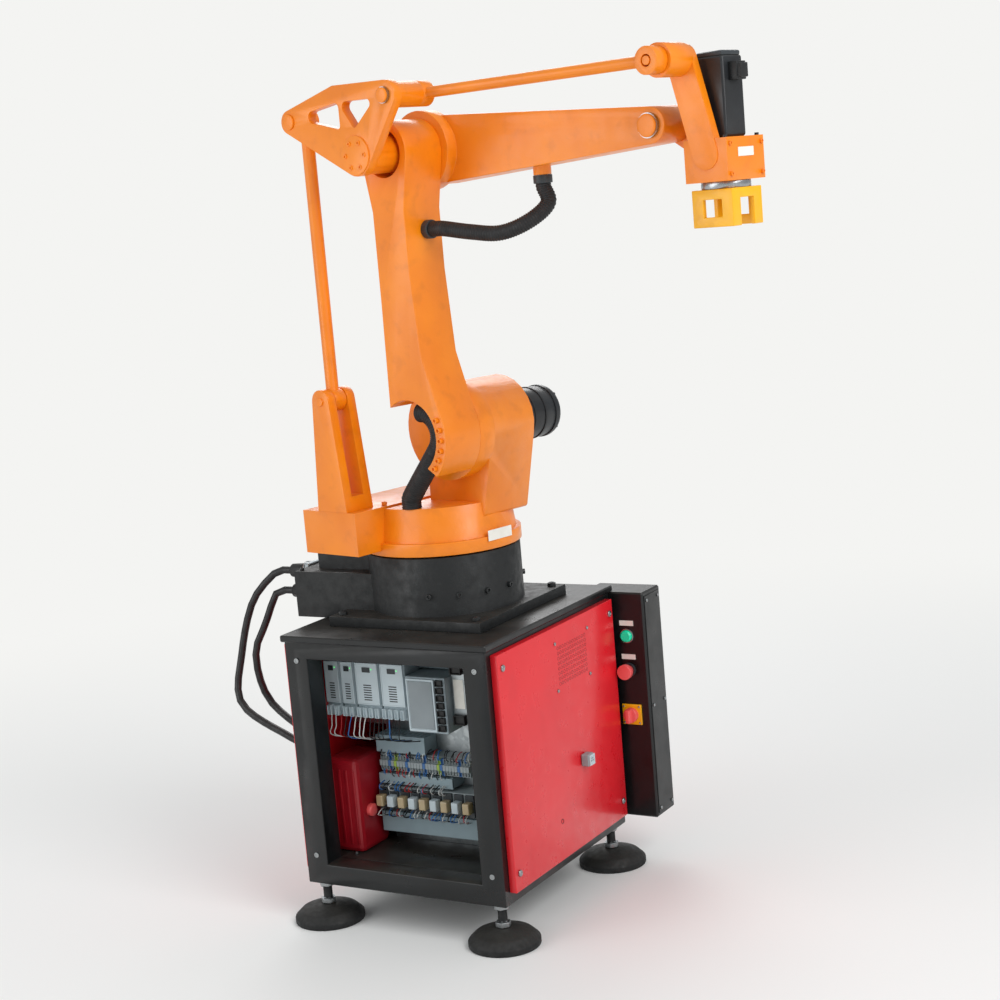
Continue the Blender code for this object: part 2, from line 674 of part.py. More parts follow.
def make_turret(turn, looks):
    """The turning casting with its deck, tower and shoulder drum, and what is bolted to it."""
    ring_bottom = BASE_TOP + BEARING_RISE + GAP
    ring_top = ring_bottom + TURRET_RING_HEIGHT
    turret = place("turret", rod_mesh(TURRET_RING_RADIUS, (0, 0, ring_bottom), TURRET_RING_HEIGHT, "Z"),
                   turn, looks["orange"])
    tower = hull([(SHOULDER_A, SHOULDER_Z, SHOULDER_DRUM_RADIUS),
                  (SHOULDER_A - TOWER_HALF, DECK_TOP - 0.03, 0.01), (SHOULDER_A + 0.055, DECK_TOP - 0.03, 0.01)])
    join(turret,
         rod_mesh(DECK_RADIUS, (0, 0, ring_top - DECK_SINK), DECK_TOP - DECK_STEP - ring_top + DECK_SINK, "Z",
                  end_radius=DECK_RADIUS - DECK_TAPER),
         span_mesh((REAR_BLOCK_BACK, REAR_BLOCK_NEAR, ring_bottom + REAR_BLOCK_LIFT),
                   (REAR_BLOCK_FRONT, REAR_BLOCK_FAR, DECK_TOP)),
         outline_mesh(tower, TOWER_NEAR, TOWER_FAR),
         across_mesh(SHOULDER_FLANGE_RADIUS, SHOULDER_A, SHOULDER_Z,
                     LOWER_ARM_N + LOWER_ARM_THICKNESS / 2 + GAP, TOWER_NEAR + DECK_SINK))
    motor_near = TOWER_FAR + GAP
    place("j2_motor", across_mesh(J2_MOTOR_RADIUS, SHOULDER_A, SHOULDER_Z, motor_near, motor_near + J2_MOTOR_LENGTH),
          turn, looks["motor"])
    pivot_a = SHOULDER_A + LINK_BACK
    pivot_z = SHOULDER_Z + LINK_BACK_RISE
    foot = DECK_TOP + GAP
    half = BRACKET_BASE / 2
    bracket_outline = hull([(pivot_a, pivot_z, BRACKET_EYE_RADIUS)], HULL_SEGMENTS)
    shoulder_points = [point for point in bracket_outline if point[1] >= pivot_z]
    sides = sorted(shoulder_points, key=lambda point: math.atan2(point[1] - pivot_z, point[0] - pivot_a))
    outline = [(pivot_a - half * 0.8, foot), (pivot_a + half, foot), *sides]
    near = REAR_ROD_N - BRACKET_WIDTH / 2
    far = REAR_ROD_N + BRACKET_WIDTH / 2
    bracket = place("rear_bracket", outline_mesh(outline, near, far), turn, looks["orange"])
    cut(bracket, span_mesh((pivot_a - 0.2, REAR_ROD_N - BRACKET_SLOT / 2, foot + BRACKET_WEB),
                           (pivot_a + 0.2, REAR_ROD_N + BRACKET_SLOT / 2, pivot_z + 0.1)))
    join(bracket, across_mesh(PIN_RADIUS, pivot_a, pivot_z, near - 0.004, far + 0.004, SMALL_SEGMENTS))


def make_lower_arm(shoulder, looks):
    """The lower arm: a tapering box section with a hooked foot round the shoulder axis."""
    waist = LOWER_ARM_WAIST
    waist_z = LOWER_ARM_WAIST_Z
    top = LOWER_LENGTH
    outline = [
        *arc(0, 0, LOWER_ARM_FOOT_RADIUS, -48, 28, 10),
        (waist * 1.25, waist_z * 0.62), (waist, waist_z * 1.25), (waist, top * 0.8),
        *arc(0, top, LOWER_ARM_TOP_RADIUS, -12, 192, 20),
        (-waist, top * 0.8), (-waist, waist_z),
        *arc(0, 0, NOTCH_RADIUS, 128, -54, 18),
    ]
    near = LOWER_ARM_N - LOWER_ARM_THICKNESS / 2
    far = LOWER_ARM_N + LOWER_ARM_THICKNESS / 2
    arm = place("lower_arm", outline_mesh(outline, near, far), shoulder, looks["orange"])
    soften(arm, 0.014)
    cut(arm, across_mesh(HUB_RECESS_RADIUS, 0, top, near - 0.01, near + HUB_RECESS_DEPTH))


def eye_rod_meshes(length_vector, plane, rod_radius, eye_radius, thickness, bores):
    """The shaft, eyes and bores of a rod that lies in the arm's plane from the origin to a point."""
    end_a, end_z = length_vector
    length = math.hypot(end_a, end_z)
    angle = math.atan2(end_a, end_z)
    shaft = rod_mesh(rod_radius, (0, 0, 0), length, "Z", segments=SMALL_SEGMENTS)
    shaft.transform(Matrix.Translation((0, plane, 0)) @ Matrix.Rotation(angle, 4, "Y"))
    eyes = [across_mesh(eye_radius, a, z, plane - thickness / 2, plane + thickness / 2, HULL_SEGMENTS)
            for a, z in ((0, 0), (end_a, end_z))]
    holes = [across_mesh(bore, a, z, plane - thickness, plane + thickness, SMALL_SEGMENTS)
             for bore, (a, z) in zip(bores, ((0, 0), (end_a, end_z)))]
    return shaft, eyes, holes


def make_rod(name, end, plane, radius, eye_radius, thickness, bores, parent, look):
    """A connecting rod with a bored eye at each end."""
    shaft, eyes, holes = eye_rod_meshes(end, plane, radius, eye_radius, thickness, bores)
    rod = place(name, shaft, parent, look)
    join(rod, *eyes)
    cut(rod, *holes)
    return rod


def make_elbow_link(link, looks):
    """The three-hole truss link that keeps the wrist level."""
    back = (LINK_BACK, LINK_BACK_RISE)
    front = (LINK_FRONT, LINK_FRONT_RISE)
    near = ELBOW_LINK_N - ELBOW_LINK_THICKNESS / 2
    far = ELBOW_LINK_N + ELBOW_LINK_THICKNESS / 2
    crown = (-0.055, 0.142, 0.014)
    outline = hull([(0, 0, LINK_HUB_RADIUS + LINK_HUB_RIM), (*back, LINK_EYE_RADIUS), (*front, LINK_FRONT_EYE_RADIUS), crown])
    left_window = hull([(-0.13, 0.094, 0.0135), (-0.055, 0.105, 0.013), (-0.05, 0.069, 0.008)])
    right_window = hull([(-0.018, 0.106, 0.0125), (0.048, 0.107, 0.0105), (0.004, 0.067, 0.0075)])
    elbow = place("elbow_link", outline_mesh(outline, near, far, (left_window, right_window)), link, looks["orange"])
    arm_near = LOWER_ARM_N - LOWER_ARM_THICKNESS / 2
    rod_near = UPPER_ROD_N - UPPER_ROD_EYE_THICKNESS / 2
    eye_near = REAR_ROD_N - REAR_ROD_EYE_THICKNESS / 2
    eye_far = REAR_ROD_N + REAR_ROD_EYE_THICKNESS / 2
    join(elbow,
         across_mesh(LINK_HUB_RADIUS, 0, 0, near - 0.004, arm_near + HUB_RECESS_DEPTH - GAP),
         across_mesh(LINK_FRONT_EYE_RADIUS - 0.004, *front, near, rod_near - GAP),
         across_mesh(PIN_RADIUS - 0.001, *back, far - 0.004, eye_far, SMALL_SEGMENTS),
         across_mesh(LINK_EYE_RADIUS - 0.006, *back, far - 0.004, eye_near - OPEN_PIVOT_CLEARANCE, SMALL_SEGMENTS))
    cut(elbow, across_mesh(PIN_RADIUS + PIN_CLEARANCE, *front, near - 0.02, rod_near + 0.02, SMALL_SEGMENTS))


def make_elbow_pin(pivot, looks):
    """The pin through the link's front boss and the upper rod's eye."""
    near = ELBOW_LINK_N - ELBOW_LINK_THICKNESS / 2 - GAP
    far = UPPER_ROD_N + UPPER_ROD_EYE_THICKNESS / 2 + GAP
    pin = place("elbow_pin", across_mesh(PIN_RADIUS, 0, 0, near - 0.002, far + 0.002, SMALL_SEGMENTS), pivot, looks["pin"])
    join(pin, across_mesh(PIN_CAP_RADIUS, 0, 0, near - PIN_CAP_THICKNESS, near, SMALL_SEGMENTS),
         across_mesh(PIN_CAP_RADIUS, 0, 0, far, far + PIN_CAP_THICKNESS, SMALL_SEGMENTS))


def make_forearm(elbow, looks):
    """The tapering forearm with its root flange and elbow motor."""
    half = FOREARM_THICKNESS / 2
    flange_near = LOWER_ARM_N + LOWER_ARM_THICKNESS / 2 + GAP
    outline = hull([(0, 0, FOREARM_ROOT_RADIUS), (FORE_LENGTH, 0, FOREARM_END_RADIUS)])
    forearm = place("forearm", outline_mesh(outline, -half, half), elbow, looks["orange"])
    join(forearm, across_mesh(FOREARM_FLANGE_RADIUS, 0, 0, flange_near, flange_near + FOREARM_FLANGE_THICKNESS),
         rod_mesh(HOSE_SOCKET_RADIUS, (HOSE_SOCKET_A, 0, -HOSE_SOCKET_DROP), HOSE_SOCKET_DROP, "Z", segments=SMALL_SEGMENTS))
    cut(forearm, across_mesh(WRIST_PIN_RADIUS + PIN_CLEARANCE, FORE_LENGTH, 0, -half - 0.02, half + 0.02, SMALL_SEGMENTS))
    size = J3_MOTOR_SIZE / 2
    motor = place("j3_motor", span_mesh((-size, half + GAP, -size), (size, half + GAP + J3_MOTOR_LENGTH, size)),
                  elbow, looks["motor"])
    soften(motor, 0.006)


def make_wrist_pin(pivot, looks):
    """The shaft through the forearm's end eye."""
    half = FOREARM_THICKNESS / 2
    pin = place("wrist_pin", across_mesh(WRIST_PIN_RADIUS, 0, 0, -half - 0.004, half + WRIST_LUG_THICKNESS, SMALL_SEGMENTS),
                pivot, looks["pin"])
    join(pin, across_mesh(WRIST_PIN_RADIUS + 0.012, 0, 0, -half - GAP - 0.008, -half - GAP, HULL_SEGMENTS))


def make_wrist(wrist, looks):
    """The level wrist: head box, far lug to the forearm and diagonal plate to the upper rod."""
    lug_near = FOREARM_THICKNESS / 2 + GAP
    lug_far = lug_near + WRIST_LUG_THICKNESS
    head_near = HEAD_N - HEAD_WIDTH / 2
    head_far = HEAD_N + HEAD_WIDTH / 2
    head_back = HEAD_A - HEAD_LENGTH / 2
    head_front = HEAD_A + HEAD_LENGTH / 2
    head_bottom = HEAD_TOP - HEAD_HEIGHT
    head = place("wrist_head", span_mesh((head_back, head_near, head_bottom), (head_front, head_far, HEAD_TOP)),
                 wrist, looks["orange"])
    lug = hull([(0, 0, WRIST_LUG_RADIUS), (head_back + 0.03, HEAD_TOP - 0.03, 0.03), (head_back + 0.03, head_bottom + 0.02, 0.02)])
    plate_far = head_near + LEVEL_PLATE_THICKNESS - 0.002
    plate_near = plate_far - LEVEL_PLATE_THICKNESS
    plate = hull([(LINK_FRONT, LINK_FRONT_RISE, LEVEL_PLATE_WIDTH / 2), (HEAD_A, HEAD_TOP - 0.03, LEVEL_PLATE_WIDTH / 2)])
    boss_near = UPPER_ROD_N + UPPER_ROD_EYE_THICKNESS / 2 + OPEN_PIVOT_CLEARANCE
    pin_near = UPPER_ROD_N - UPPER_ROD_EYE_THICKNESS / 2
    join(head, outline_mesh(lug, lug_near, lug_far), outline_mesh(plate, plate_near, plate_far),
         across_mesh(LEVEL_BOSS_RADIUS, LINK_FRONT, LINK_FRONT_RISE, boss_near, plate_near + 0.004),
         across_mesh(PIN_RADIUS - 0.001, LINK_FRONT, LINK_FRONT_RISE, pin_near, boss_near + 0.004, SMALL_SEGMENTS))
    cut(head, across_mesh(WRIST_PIN_RADIUS + PIN_CLEARANCE, 0, 0, lug_near - 0.02, lug_far + 0.02, SMALL_SEGMENTS))
    size = J4_MOTOR_SIZE / 2
    low = HEAD_TOP + GAP
    motor = place("j4_motor", span_mesh((HEAD_A - size, HEAD_N - size, low), (HEAD_A + size, HEAD_N + size, low + J4_MOTOR_HEIGHT)),
                  wrist, looks["motor"])
    soften(motor, 0.004)


def make_tool(tool, looks):
    """The tool flange and the yellow bracket bolted under it; the empty is on the flange's top."""
    flange_low = -GAP - TOOL_FLANGE_THICKNESS
    place("tool_flange", rod_mesh(TOOL_FLANGE_RADIUS, (0, 0, flange_low), TOOL_FLANGE_THICKNESS, "Z"), tool, looks["steel"])
    half = TOOL_BRACKET_SIZE / 2
    top = flange_low - GAP
    bottom = top - TOOL_BRACKET_HEIGHT
    wall = TOOL_BRACKET_WALL
    bracket = place("tool_bracket", span_mesh((-half, -half, bottom), (half, half, top)), tool, looks["yellow"])
    cut(bracket, span_mesh((-half + wall, -half + wall, bottom - 0.01), (half - wall, half - wall, top - wall)),
        span_mesh((-half - 0.1, -TOOL_WINDOW / 2, bottom - 0.01), (half + 0.1, TOOL_WINDOW / 2, top - wall * 2)),
        span_mesh((-TOOL_WINDOW / 2, -half - 0.1, bottom + wall * 2), (TOOL_WINDOW / 2, half + 0.1, top - wall * 2)))


def make_hoses(turn, elbow, looks):
    """The corrugated hoses at the shoulder and at the elbow."""
    lane = LOWER_ARM_N - 0.01
    reach = NOTCH_RADIUS - SHOULDER_HOSE_RADIUS - 0.012
    drop = SHOULDER_Z - DECK_TOP + DECK_STEP - GAP
    shoulder_route = [
        (SHOULDER_A - 0.06, lane, SHOULDER_Z - drop), (SHOULDER_A - 0.06, lane, SHOULDER_Z - drop + 0.022),
        *[(SHOULDER_A + reach * math.cos(math.radians(angle)), lane, SHOULDER_Z + reach * math.sin(math.radians(angle)))
          for angle in (-50, -25, 0, 25, 50, 75, 100)],
    ]
    tube("shoulder_hose", shoulder_route, SHOULDER_HOSE_RADIUS, turn, looks["rubber"], 4)
    hose_top = -HOSE_SOCKET_DROP - GAP
    elbow_route = [
        (LOWER_ARM_WAIST + GAP, -0.122, -0.175), (0.095, -0.122, -0.175), (0.17, -0.105, -0.188),
        (0.235, -0.08, -0.195), (0.285, -0.04, -0.175), (HOSE_SOCKET_A + 0.01, 0, -0.14),
        (HOSE_SOCKET_A, 0, hose_top - 0.024), (HOSE_SOCKET_A, 0, hose_top),
    ]
    tube("elbow_hose", elbow_route, ELBOW_HOSE_RADIUS, elbow, looks["rubber"], 4)


def stand_on_origin(root, left_out):
    """Move the root so that the overall box stands on the world origin, without the hanging cables."""
    bpy.context.view_layer.update()
    graph = bpy.context.evaluated_depsgraph_get()
    corners = []
    for thing in collection(PART_COLLECTION).objects:
        if thing.type == "EMPTY" or thing.name.startswith(left_out):
            continue
        solid = thing.evaluated_get(graph)
        mesh = solid.to_mesh()
        corners.extend(solid.matrix_world @ vertex.co for vertex in mesh.vertices)
        solid.to_mesh_clear()
    for axis in (0, 1):
        values = [corner[axis] for corner in corners]
        root.location[axis] -= (min(values) + max(values)) / 2
    root.location.z -= min(corner.z for corner in corners)


def build():
    """Build the whole robot."""
    clear_scene()
    looks = make_looks()
    root = empty("pedestal_origin", None, (0, 0, 0))
    turn = empty("j1_axis", root, (0, 0, 0), REST_TURN)
    shoulder = empty("j2_axis", turn, (SHOULDER_A, 0, SHOULDER_Z))
    elbow = empty("j3_axis", shoulder, (0, 0, LOWER_LENGTH))
    link = empty("elbow_link_axis", shoulder, (0, 0, LOWER_LENGTH))
    rear_pivot = empty("rear_rod_axis", turn, (SHOULDER_A + LINK_BACK, 0, SHOULDER_Z + LINK_BACK_RISE))
    rod_pivot = empty("upper_rod_axis", link, (LINK_FRONT, 0, LINK_FRONT_RISE))
    wrist = empty("wrist_axis", elbow, (FORE_LENGTH, 0, 0))
    tool = empty("j4_axis", wrist, (HEAD_A, HEAD_N, HEAD_TOP - HEAD_HEIGHT))
    make_feet(root, looks)
    make_cabinet_frame(root, looks)
    make_panels(root, looks)
    make_bay(root, looks)
    make_controls(root, looks)
    make_base(root, looks)
    make_turret(turn, looks)
    make_lower_arm(shoulder, looks)
    bores = (PIN_RADIUS + PIN_CLEARANCE, PIN_RADIUS + OPEN_PIVOT_CLEARANCE)
    make_rod("rear_rod", (0, LOWER_LENGTH), REAR_ROD_N, REAR_ROD_RADIUS, REAR_ROD_EYE_RADIUS,
             REAR_ROD_EYE_THICKNESS, bores, rear_pivot, looks["orange"])
    make_rod("upper_rod", (FORE_LENGTH, 0), UPPER_ROD_N, UPPER_ROD_RADIUS, UPPER_ROD_EYE_RADIUS,
             UPPER_ROD_EYE_THICKNESS, bores, rod_pivot, looks["orange"])
    make_elbow_link(link, looks)
    make_elbow_pin(rod_pivot, looks)
    make_forearm(elbow, looks)
    make_wrist_pin(wrist, looks)
    make_wrist(wrist, looks)
    make_tool(tool, looks)
    make_hoses(turn, elbow, looks)
    stand_on_origin(root, ("motor_cable", "cable_plug"))


build()
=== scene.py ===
"""Dress the palletising robot: its finishes, fasteners, wiring and hoses, with a studio and a camera."""

from __future__ import annotations

import json
import logging
import math
import random
from collections.abc import Callable, Iterable, Sequence
from dataclasses import dataclass, field
from enum import Enum

import bpy
from mathutils import Matrix, Vector

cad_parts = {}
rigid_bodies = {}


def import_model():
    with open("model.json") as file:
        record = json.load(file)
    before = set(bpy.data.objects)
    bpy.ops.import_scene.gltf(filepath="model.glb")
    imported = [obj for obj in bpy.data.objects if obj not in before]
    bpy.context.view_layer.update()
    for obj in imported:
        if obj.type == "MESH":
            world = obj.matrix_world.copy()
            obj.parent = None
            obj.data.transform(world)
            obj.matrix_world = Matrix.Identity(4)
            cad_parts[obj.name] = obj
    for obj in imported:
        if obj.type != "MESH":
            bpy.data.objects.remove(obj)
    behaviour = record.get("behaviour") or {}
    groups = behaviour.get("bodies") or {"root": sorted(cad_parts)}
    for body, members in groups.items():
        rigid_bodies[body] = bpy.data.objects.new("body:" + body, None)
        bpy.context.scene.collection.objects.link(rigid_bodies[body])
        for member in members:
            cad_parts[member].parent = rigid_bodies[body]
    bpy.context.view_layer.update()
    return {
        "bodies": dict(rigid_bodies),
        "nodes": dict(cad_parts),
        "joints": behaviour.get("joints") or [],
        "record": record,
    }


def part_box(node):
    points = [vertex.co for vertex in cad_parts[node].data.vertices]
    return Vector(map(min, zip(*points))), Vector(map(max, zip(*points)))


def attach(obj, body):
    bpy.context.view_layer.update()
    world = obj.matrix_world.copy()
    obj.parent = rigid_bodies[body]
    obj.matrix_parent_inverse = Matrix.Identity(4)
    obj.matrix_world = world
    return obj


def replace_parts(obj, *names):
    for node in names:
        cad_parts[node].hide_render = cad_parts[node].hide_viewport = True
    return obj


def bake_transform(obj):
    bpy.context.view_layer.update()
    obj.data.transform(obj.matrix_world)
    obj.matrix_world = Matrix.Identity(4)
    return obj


LOG = logging.getLogger("palletising_robot")

Triple = tuple[float, float, float]
Pair = tuple[float, float]
FaceTest = Callable[[Vector, Vector], bool]
Socket = bpy.types.NodeSocket

# In the arm's own directions RIGHT is forward, FRONT is its near side and BACK its far side.
UP: Triple = (0.0, 0.0, 1.0)
DOWN: Triple = (0.0, 0.0, -1.0)
RIGHT: Triple = (1.0, 0.0, 0.0)
LEFT: Triple = (-1.0, 0.0, 0.0)
FRONT: Triple = (0.0, -1.0, 0.0)
BACK: Triple = (0.0, 1.0, 0.0)
# A face looks one way when its normal's share of that way is over this.
FACING = 0.9
SMOOTH_BELOW = math.radians(32)
HOSE_SMOOTH_BELOW = math.radians(50)


# Small tools


def linear(channel: float) -> float:
    """Turn one sRGB channel, from 0 to 1, into linear light."""
    return channel / 12.92 if channel <= 0.04045 else ((channel + 0.055) / 1.055) ** 2.4


def tint(hex_colour: str) -> tuple[float, float, float, float]:
    """Turn six hex digits of sRGB into linear RGBA, as Blender's sockets take it."""
    red, green, blue = (linear(int(hex_colour[i:i + 2], 16) / 255) for i in (0, 2, 4))
    return red, green, blue, 1.0


def per_mm(size: float) -> float:
    """Noise scale whose features are about this many millimetres wide on Object coordinates."""
    return 1000.0 / size


def add_node(tree: bpy.types.NodeTree, kind: str, settings: dict | None = None,
             links: dict | None = None) -> bpy.types.Node:
    """Add a node with its settings and links.

    Args:
        tree: the node tree that it goes into.
        kind: the node's type.
        settings: values by input name, input number or property name.
        links: output sockets by input name or number.

    Returns:
        The new node.
    """
    made = tree.nodes.new(kind)
    for key, value in (settings or {}).items():
        if isinstance(key, int) or key in made.inputs:
            made.inputs[key].default_value = value
        else:
            setattr(made, key, value)
    for key, socket in (links or {}).items():
        tree.links.new(socket, made.inputs[key])
    return made


def deselect_all() -> None:
    """Leave nothing selected, in object mode."""
    if bpy.context.object is not None and bpy.context.object.mode != "OBJECT":
        bpy.ops.object.mode_set(mode="OBJECT")
    bpy.ops.object.select_all(action="DESELECT")


def corners(node: str) -> tuple[Vector, Vector]:
    """Lowest and highest corner of a CAD node."""
    low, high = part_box(node)
    return Vector(low), Vector(high)


def four(across: float, deep: float) -> list[Pair]:
    """The four corners of a rectangle round the origin, given its half sizes."""
    return [(sx * across, sy * deep) for sx in (-1, 1) for sy in (-1, 1)]


def evenly(low: float, high: float, count: int) -> list[float]:
    """Middles of the equal shares of a span."""
    return [low + (high - low) * (index + 0.5) / count for index in range(count)]


def aim(position: Sequence[float], direction: Sequence[float], spin: float = 0.0) -> Matrix:
    """A seat for a piece that was modelled at the origin along +Z, turned by the shortest way.

    Args:
        position: where its origin goes.
        direction: where its +Z points.
        spin: a turn about its own +Z first, in radians.

    Returns:
        The seat as a matrix.
    """
    turn = Vector(UP).rotation_difference(Vector(direction).normalized())
    return Matrix.Translation(Vector(position)) @ turn.to_matrix().to_4x4() @ Matrix.Rotation(spin, 4, "Z")


@dataclass(frozen=True)
class Datum:
    """A corner of the robot that sizes are measured from, with its turn about the upright axis."""

    origin: Triple
    turn: float = 0.0

    def point(self, across: float, depth: float, height: float) -> Vector:
        """Place of a point that is given in this datum's own directions."""
        return Vector(self.origin) + self.direction(across, depth, height)

    def direction(self, across: float, depth: float, height: float) -> Vector:
        """Direction in the row frame of one that is given in this datum."""
        return Matrix.Rotation(self.turn, 3, "Z") @ Vector((across, depth, height))

    def spot(self, place: Sequence[float], way: Sequence[float], spin: float = 0.0) -> Matrix:
        """A seat for a round piece: its point, its direction and a spin about itself in radians."""
        return aim(self.point(*place), self.direction(*way), spin)

    def seat(self, place: Sequence[float], way: Sequence[float], spin: float = 0.0) -> Matrix:
        """A seat whose sides stay square to this datum, given as for a spot."""
        frame = Matrix.Translation(Vector(self.origin)) @ Matrix.Rotation(self.turn, 4, "Z")
        return frame @ aim(place, way, spin)


PEDESTAL = Datum((-0.28546, -0.0196, 0.0))
ARM = Datum((-0.28546, -0.0196, 0.0), math.radians(-13.0))


# Finishes


class Skin:
    """A material's nodes while a finish dresses it. Sizes are in millimetres."""

    def __init__(self, name: str, colour: str) -> None:
        """Start a material with one shader.

        Args:
            name: the material's name.
            colour: its plain colour as an sRGB hex value.
        """
        self.material = bpy.data.materials.new(name)
        self.material.use_nodes = True
        self.material.diffuse_color = tint(colour)
        self.tree = self.material.node_tree
        self.tree.nodes.clear()
        self.shader = add_node(self.tree, "ShaderNodeBsdfPrincipled", {"Base Color": tint(colour)})
        self.place = add_node(self.tree, "ShaderNodeTexCoord").outputs["Object"]
        add_node(self.tree, "ShaderNodeOutputMaterial", links={"Surface": self.shader.outputs["BSDF"]})

    def feed(self, inputs: dict[str, object]) -> None:
        """Set the shader's inputs by name, each to a value or a socket."""
        for name, value in inputs.items():
            if isinstance(value, Socket):
                self.tree.links.new(value, self.shader.inputs[name])
            else:
                self.shader.inputs[name].default_value = value

    def noise(self, size: float, detail: float = 2.0, place: Socket | None = None, **more: float) -> Socket:
        """A noise with patches of one size.

        Args:
            size: width of its patches.
            detail: how many finer layers it has.
            place: the coordinates that it reads, or else the Object coordinates.
            more: its other inputs.

        Returns:
            The noise's socket.
        """
        settings = {"Scale": per_mm(size), "Detail": detail, **more}
        links = {"Vector": self.place if place is None else place}
        return add_node(self.tree, "ShaderNodeTexNoise", settings, links).outputs["Fac"]

    def spread(self, value: Socket, settings: dict[str, object]) -> Socket:
        """Map a value from one range to another."""
        return add_node(self.tree, "ShaderNodeMapRange", settings, {"Value": value}).outputs["Result"]

    def drift(self, size: float, low: float, high: float, detail: float = 2.0) -> Socket:
        """A soft noise between two values."""
        limits = {"From Min": 0.3, "From Max": 0.7, "To Min": low, "To Max": high}
        return self.spread(self.noise(size, detail), limits)

    def blend(self, factor: Socket, base: object, other: object) -> Socket:
        """Mix two colours, each a hex value or a socket.

        Args:
            factor: share of the second colour.
            base: the first colour.
            other: the second colour.

        Returns:
            The mixed colour's socket.
        """
        settings: dict = {"data_type": "RGBA"}
        links: dict = {0: factor}
        for index, value in ((6, base), (7, other)):
            if isinstance(value, str):
                settings[index] = tint(value)
            else:
                links[index] = value
        return add_node(self.tree, "ShaderNodeMix", settings, links).outputs[2]

    def relief(self, *layers: Pair) -> None:
        """Give the surface its grain as bump, one layer on another, each a width and a height."""
        below = None
        for width, height in layers:
            links = {"Height": self.noise(width, 3.0)}
            if below is not None:
                links["Normal"] = below
            bump = add_node(self.tree, "ShaderNodeBump", {"Strength": 1.0, "Distance": height / 1000}, links)
            below = bump.outputs["Normal"]
        self.feed({"Normal": below})

    def dust(self, colour: object, dirt: str, most: float) -> Socket:
        """Lay settled workshop dust on faces that look up.

        Args:
            colour: the clean colour, a hex value or a socket.
            dirt: the dust's hex colour.
            most: its largest share.

        Returns:
            The dusted colour's socket.
        """
        normal = add_node(self.tree, "ShaderNodeNewGeometry").outputs["Normal"]
        upward = add_node(self.tree, "ShaderNodeSeparateXYZ", links={"Vector": normal}).outputs["Z"]
        level = self.spread(upward, {"From Min": 0.45, "From Max": 1.0, "To Max": most})
        patches = self.drift(70.0, 0.35, 1.0, 5.0)
        share = add_node(self.tree, "ShaderNodeMath", {"operation": "MULTIPLY"}, {0: level, 1: patches})
        return self.blend(share.outputs["Value"], colour, dirt)


@dataclass(frozen=True)
class Finish:
    """One surface finish: its sRGB hex colour, and a material slot name from the record."""

    name: str
    colour: str
    slot: str | None = None

    def material(self) -> bpy.types.Material:
        """The finish as a material, made once."""
        found = bpy.data.materials.get(self.name)
        if found is not None:
            return found
        skin = Skin(self.name, self.colour)
        self.dress(skin)
        return skin.material

    def dress(self, skin: Skin) -> None:
        """Add the finish's own nodes."""
        raise NotImplementedError


@dataclass(frozen=True)
class PaintedCasting(Finish):
    """Spray-painted iron casting: a glossy orange skin over the soft lumps of the sand mould."""

    deep: str = "E27204"

    def dress(self, skin: Skin) -> None:
        """Colour drifts where the coat is thick, grain under it and a little grime."""
        colour = skin.blend(skin.drift(130.0, 0.0, 0.55), self.colour, self.deep)
        # Grimy fingers leave dull brownish patches a few centimetres wide.
        colour = skin.blend(skin.drift(36.0, -0.25, 0.16, 6.0), colour, "A8500C")
        skin.feed({"Base Color": skin.dust(colour, "B98A5E", 0.10), "Coat Weight": 0.2, "Coat Roughness": 0.2,
                   "Roughness": skin.drift(28.0, 0.32, 0.47, 4.0)})
        # Mould grain is about 1 mm; it is drawn at 3 mm so that it shows, under orange peel of 9 mm.
        skin.relief((9.0, 0.35), (3.0, 0.14))


@dataclass(frozen=True)
class RawCasting(Finish):
    """Cast iron under one thin black coat: dull, grainy and rubbed grey in places."""

    rubbed: str = "2A3030"

    def dress(self, skin: Skin) -> None:
        """Grain that catches the light, with scuffs and dust."""
        limits = {"From Min": 0.57, "From Max": 0.74, "To Max": 0.55}
        scuffs = skin.spread(skin.noise(45.0, 9.0, Roughness=0.72), limits)
        colour = skin.blend(scuffs, self.colour, self.rubbed)
        skin.feed({"Base Color": skin.dust(colour, "6E675C", 0.18),
                   "Roughness": skin.drift(22.0, 0.40, 0.66, 4.0)})
        skin.relief((7.0, 0.30), (2.4, 0.22))


@dataclass(frozen=True)
class Enamel(Finish):
    """Stoved enamel on steel: smooth, half gloss and faintly hazed by handling."""

    haze: str = "171B1D"
    dirt: str = "8A8174"

    def dress(self, skin: Skin) -> None:
        """Handling haze, dust on ledges and a faint peel."""
        hazed = skin.blend(skin.drift(90.0, -0.1, 0.5, 6.0), self.colour, self.haze)
        skin.feed({"Base Color": skin.dust(hazed, self.dirt, 0.13),
                   "Roughness": skin.drift(60.0, 0.26, 0.44, 5.0)})
        skin.relief((6.0, 0.10))


@dataclass(frozen=True)
class PowderCoat(Finish):
    """Powder coat on folded sheet steel: an even colour with fine orange peel."""

    deep: str = "B8141F"

    def dress(self, skin: Skin) -> None:
        """Slow colour drift, finger marks in the gloss and the peel."""
        colour = skin.blend(skin.drift(220.0, 0.0, 0.28), self.colour, self.deep)
        skin.feed({"Base Color": skin.blend(skin.drift(70.0, -0.10, 0.06, 3.0), colour, "7E2A28"),
                   "Roughness": skin.drift(34.0, 0.25, 0.40, 5.0),
                   "Coat Weight": 0.2, "Coat Roughness": 0.12})
        skin.relief((3.0, 0.02))


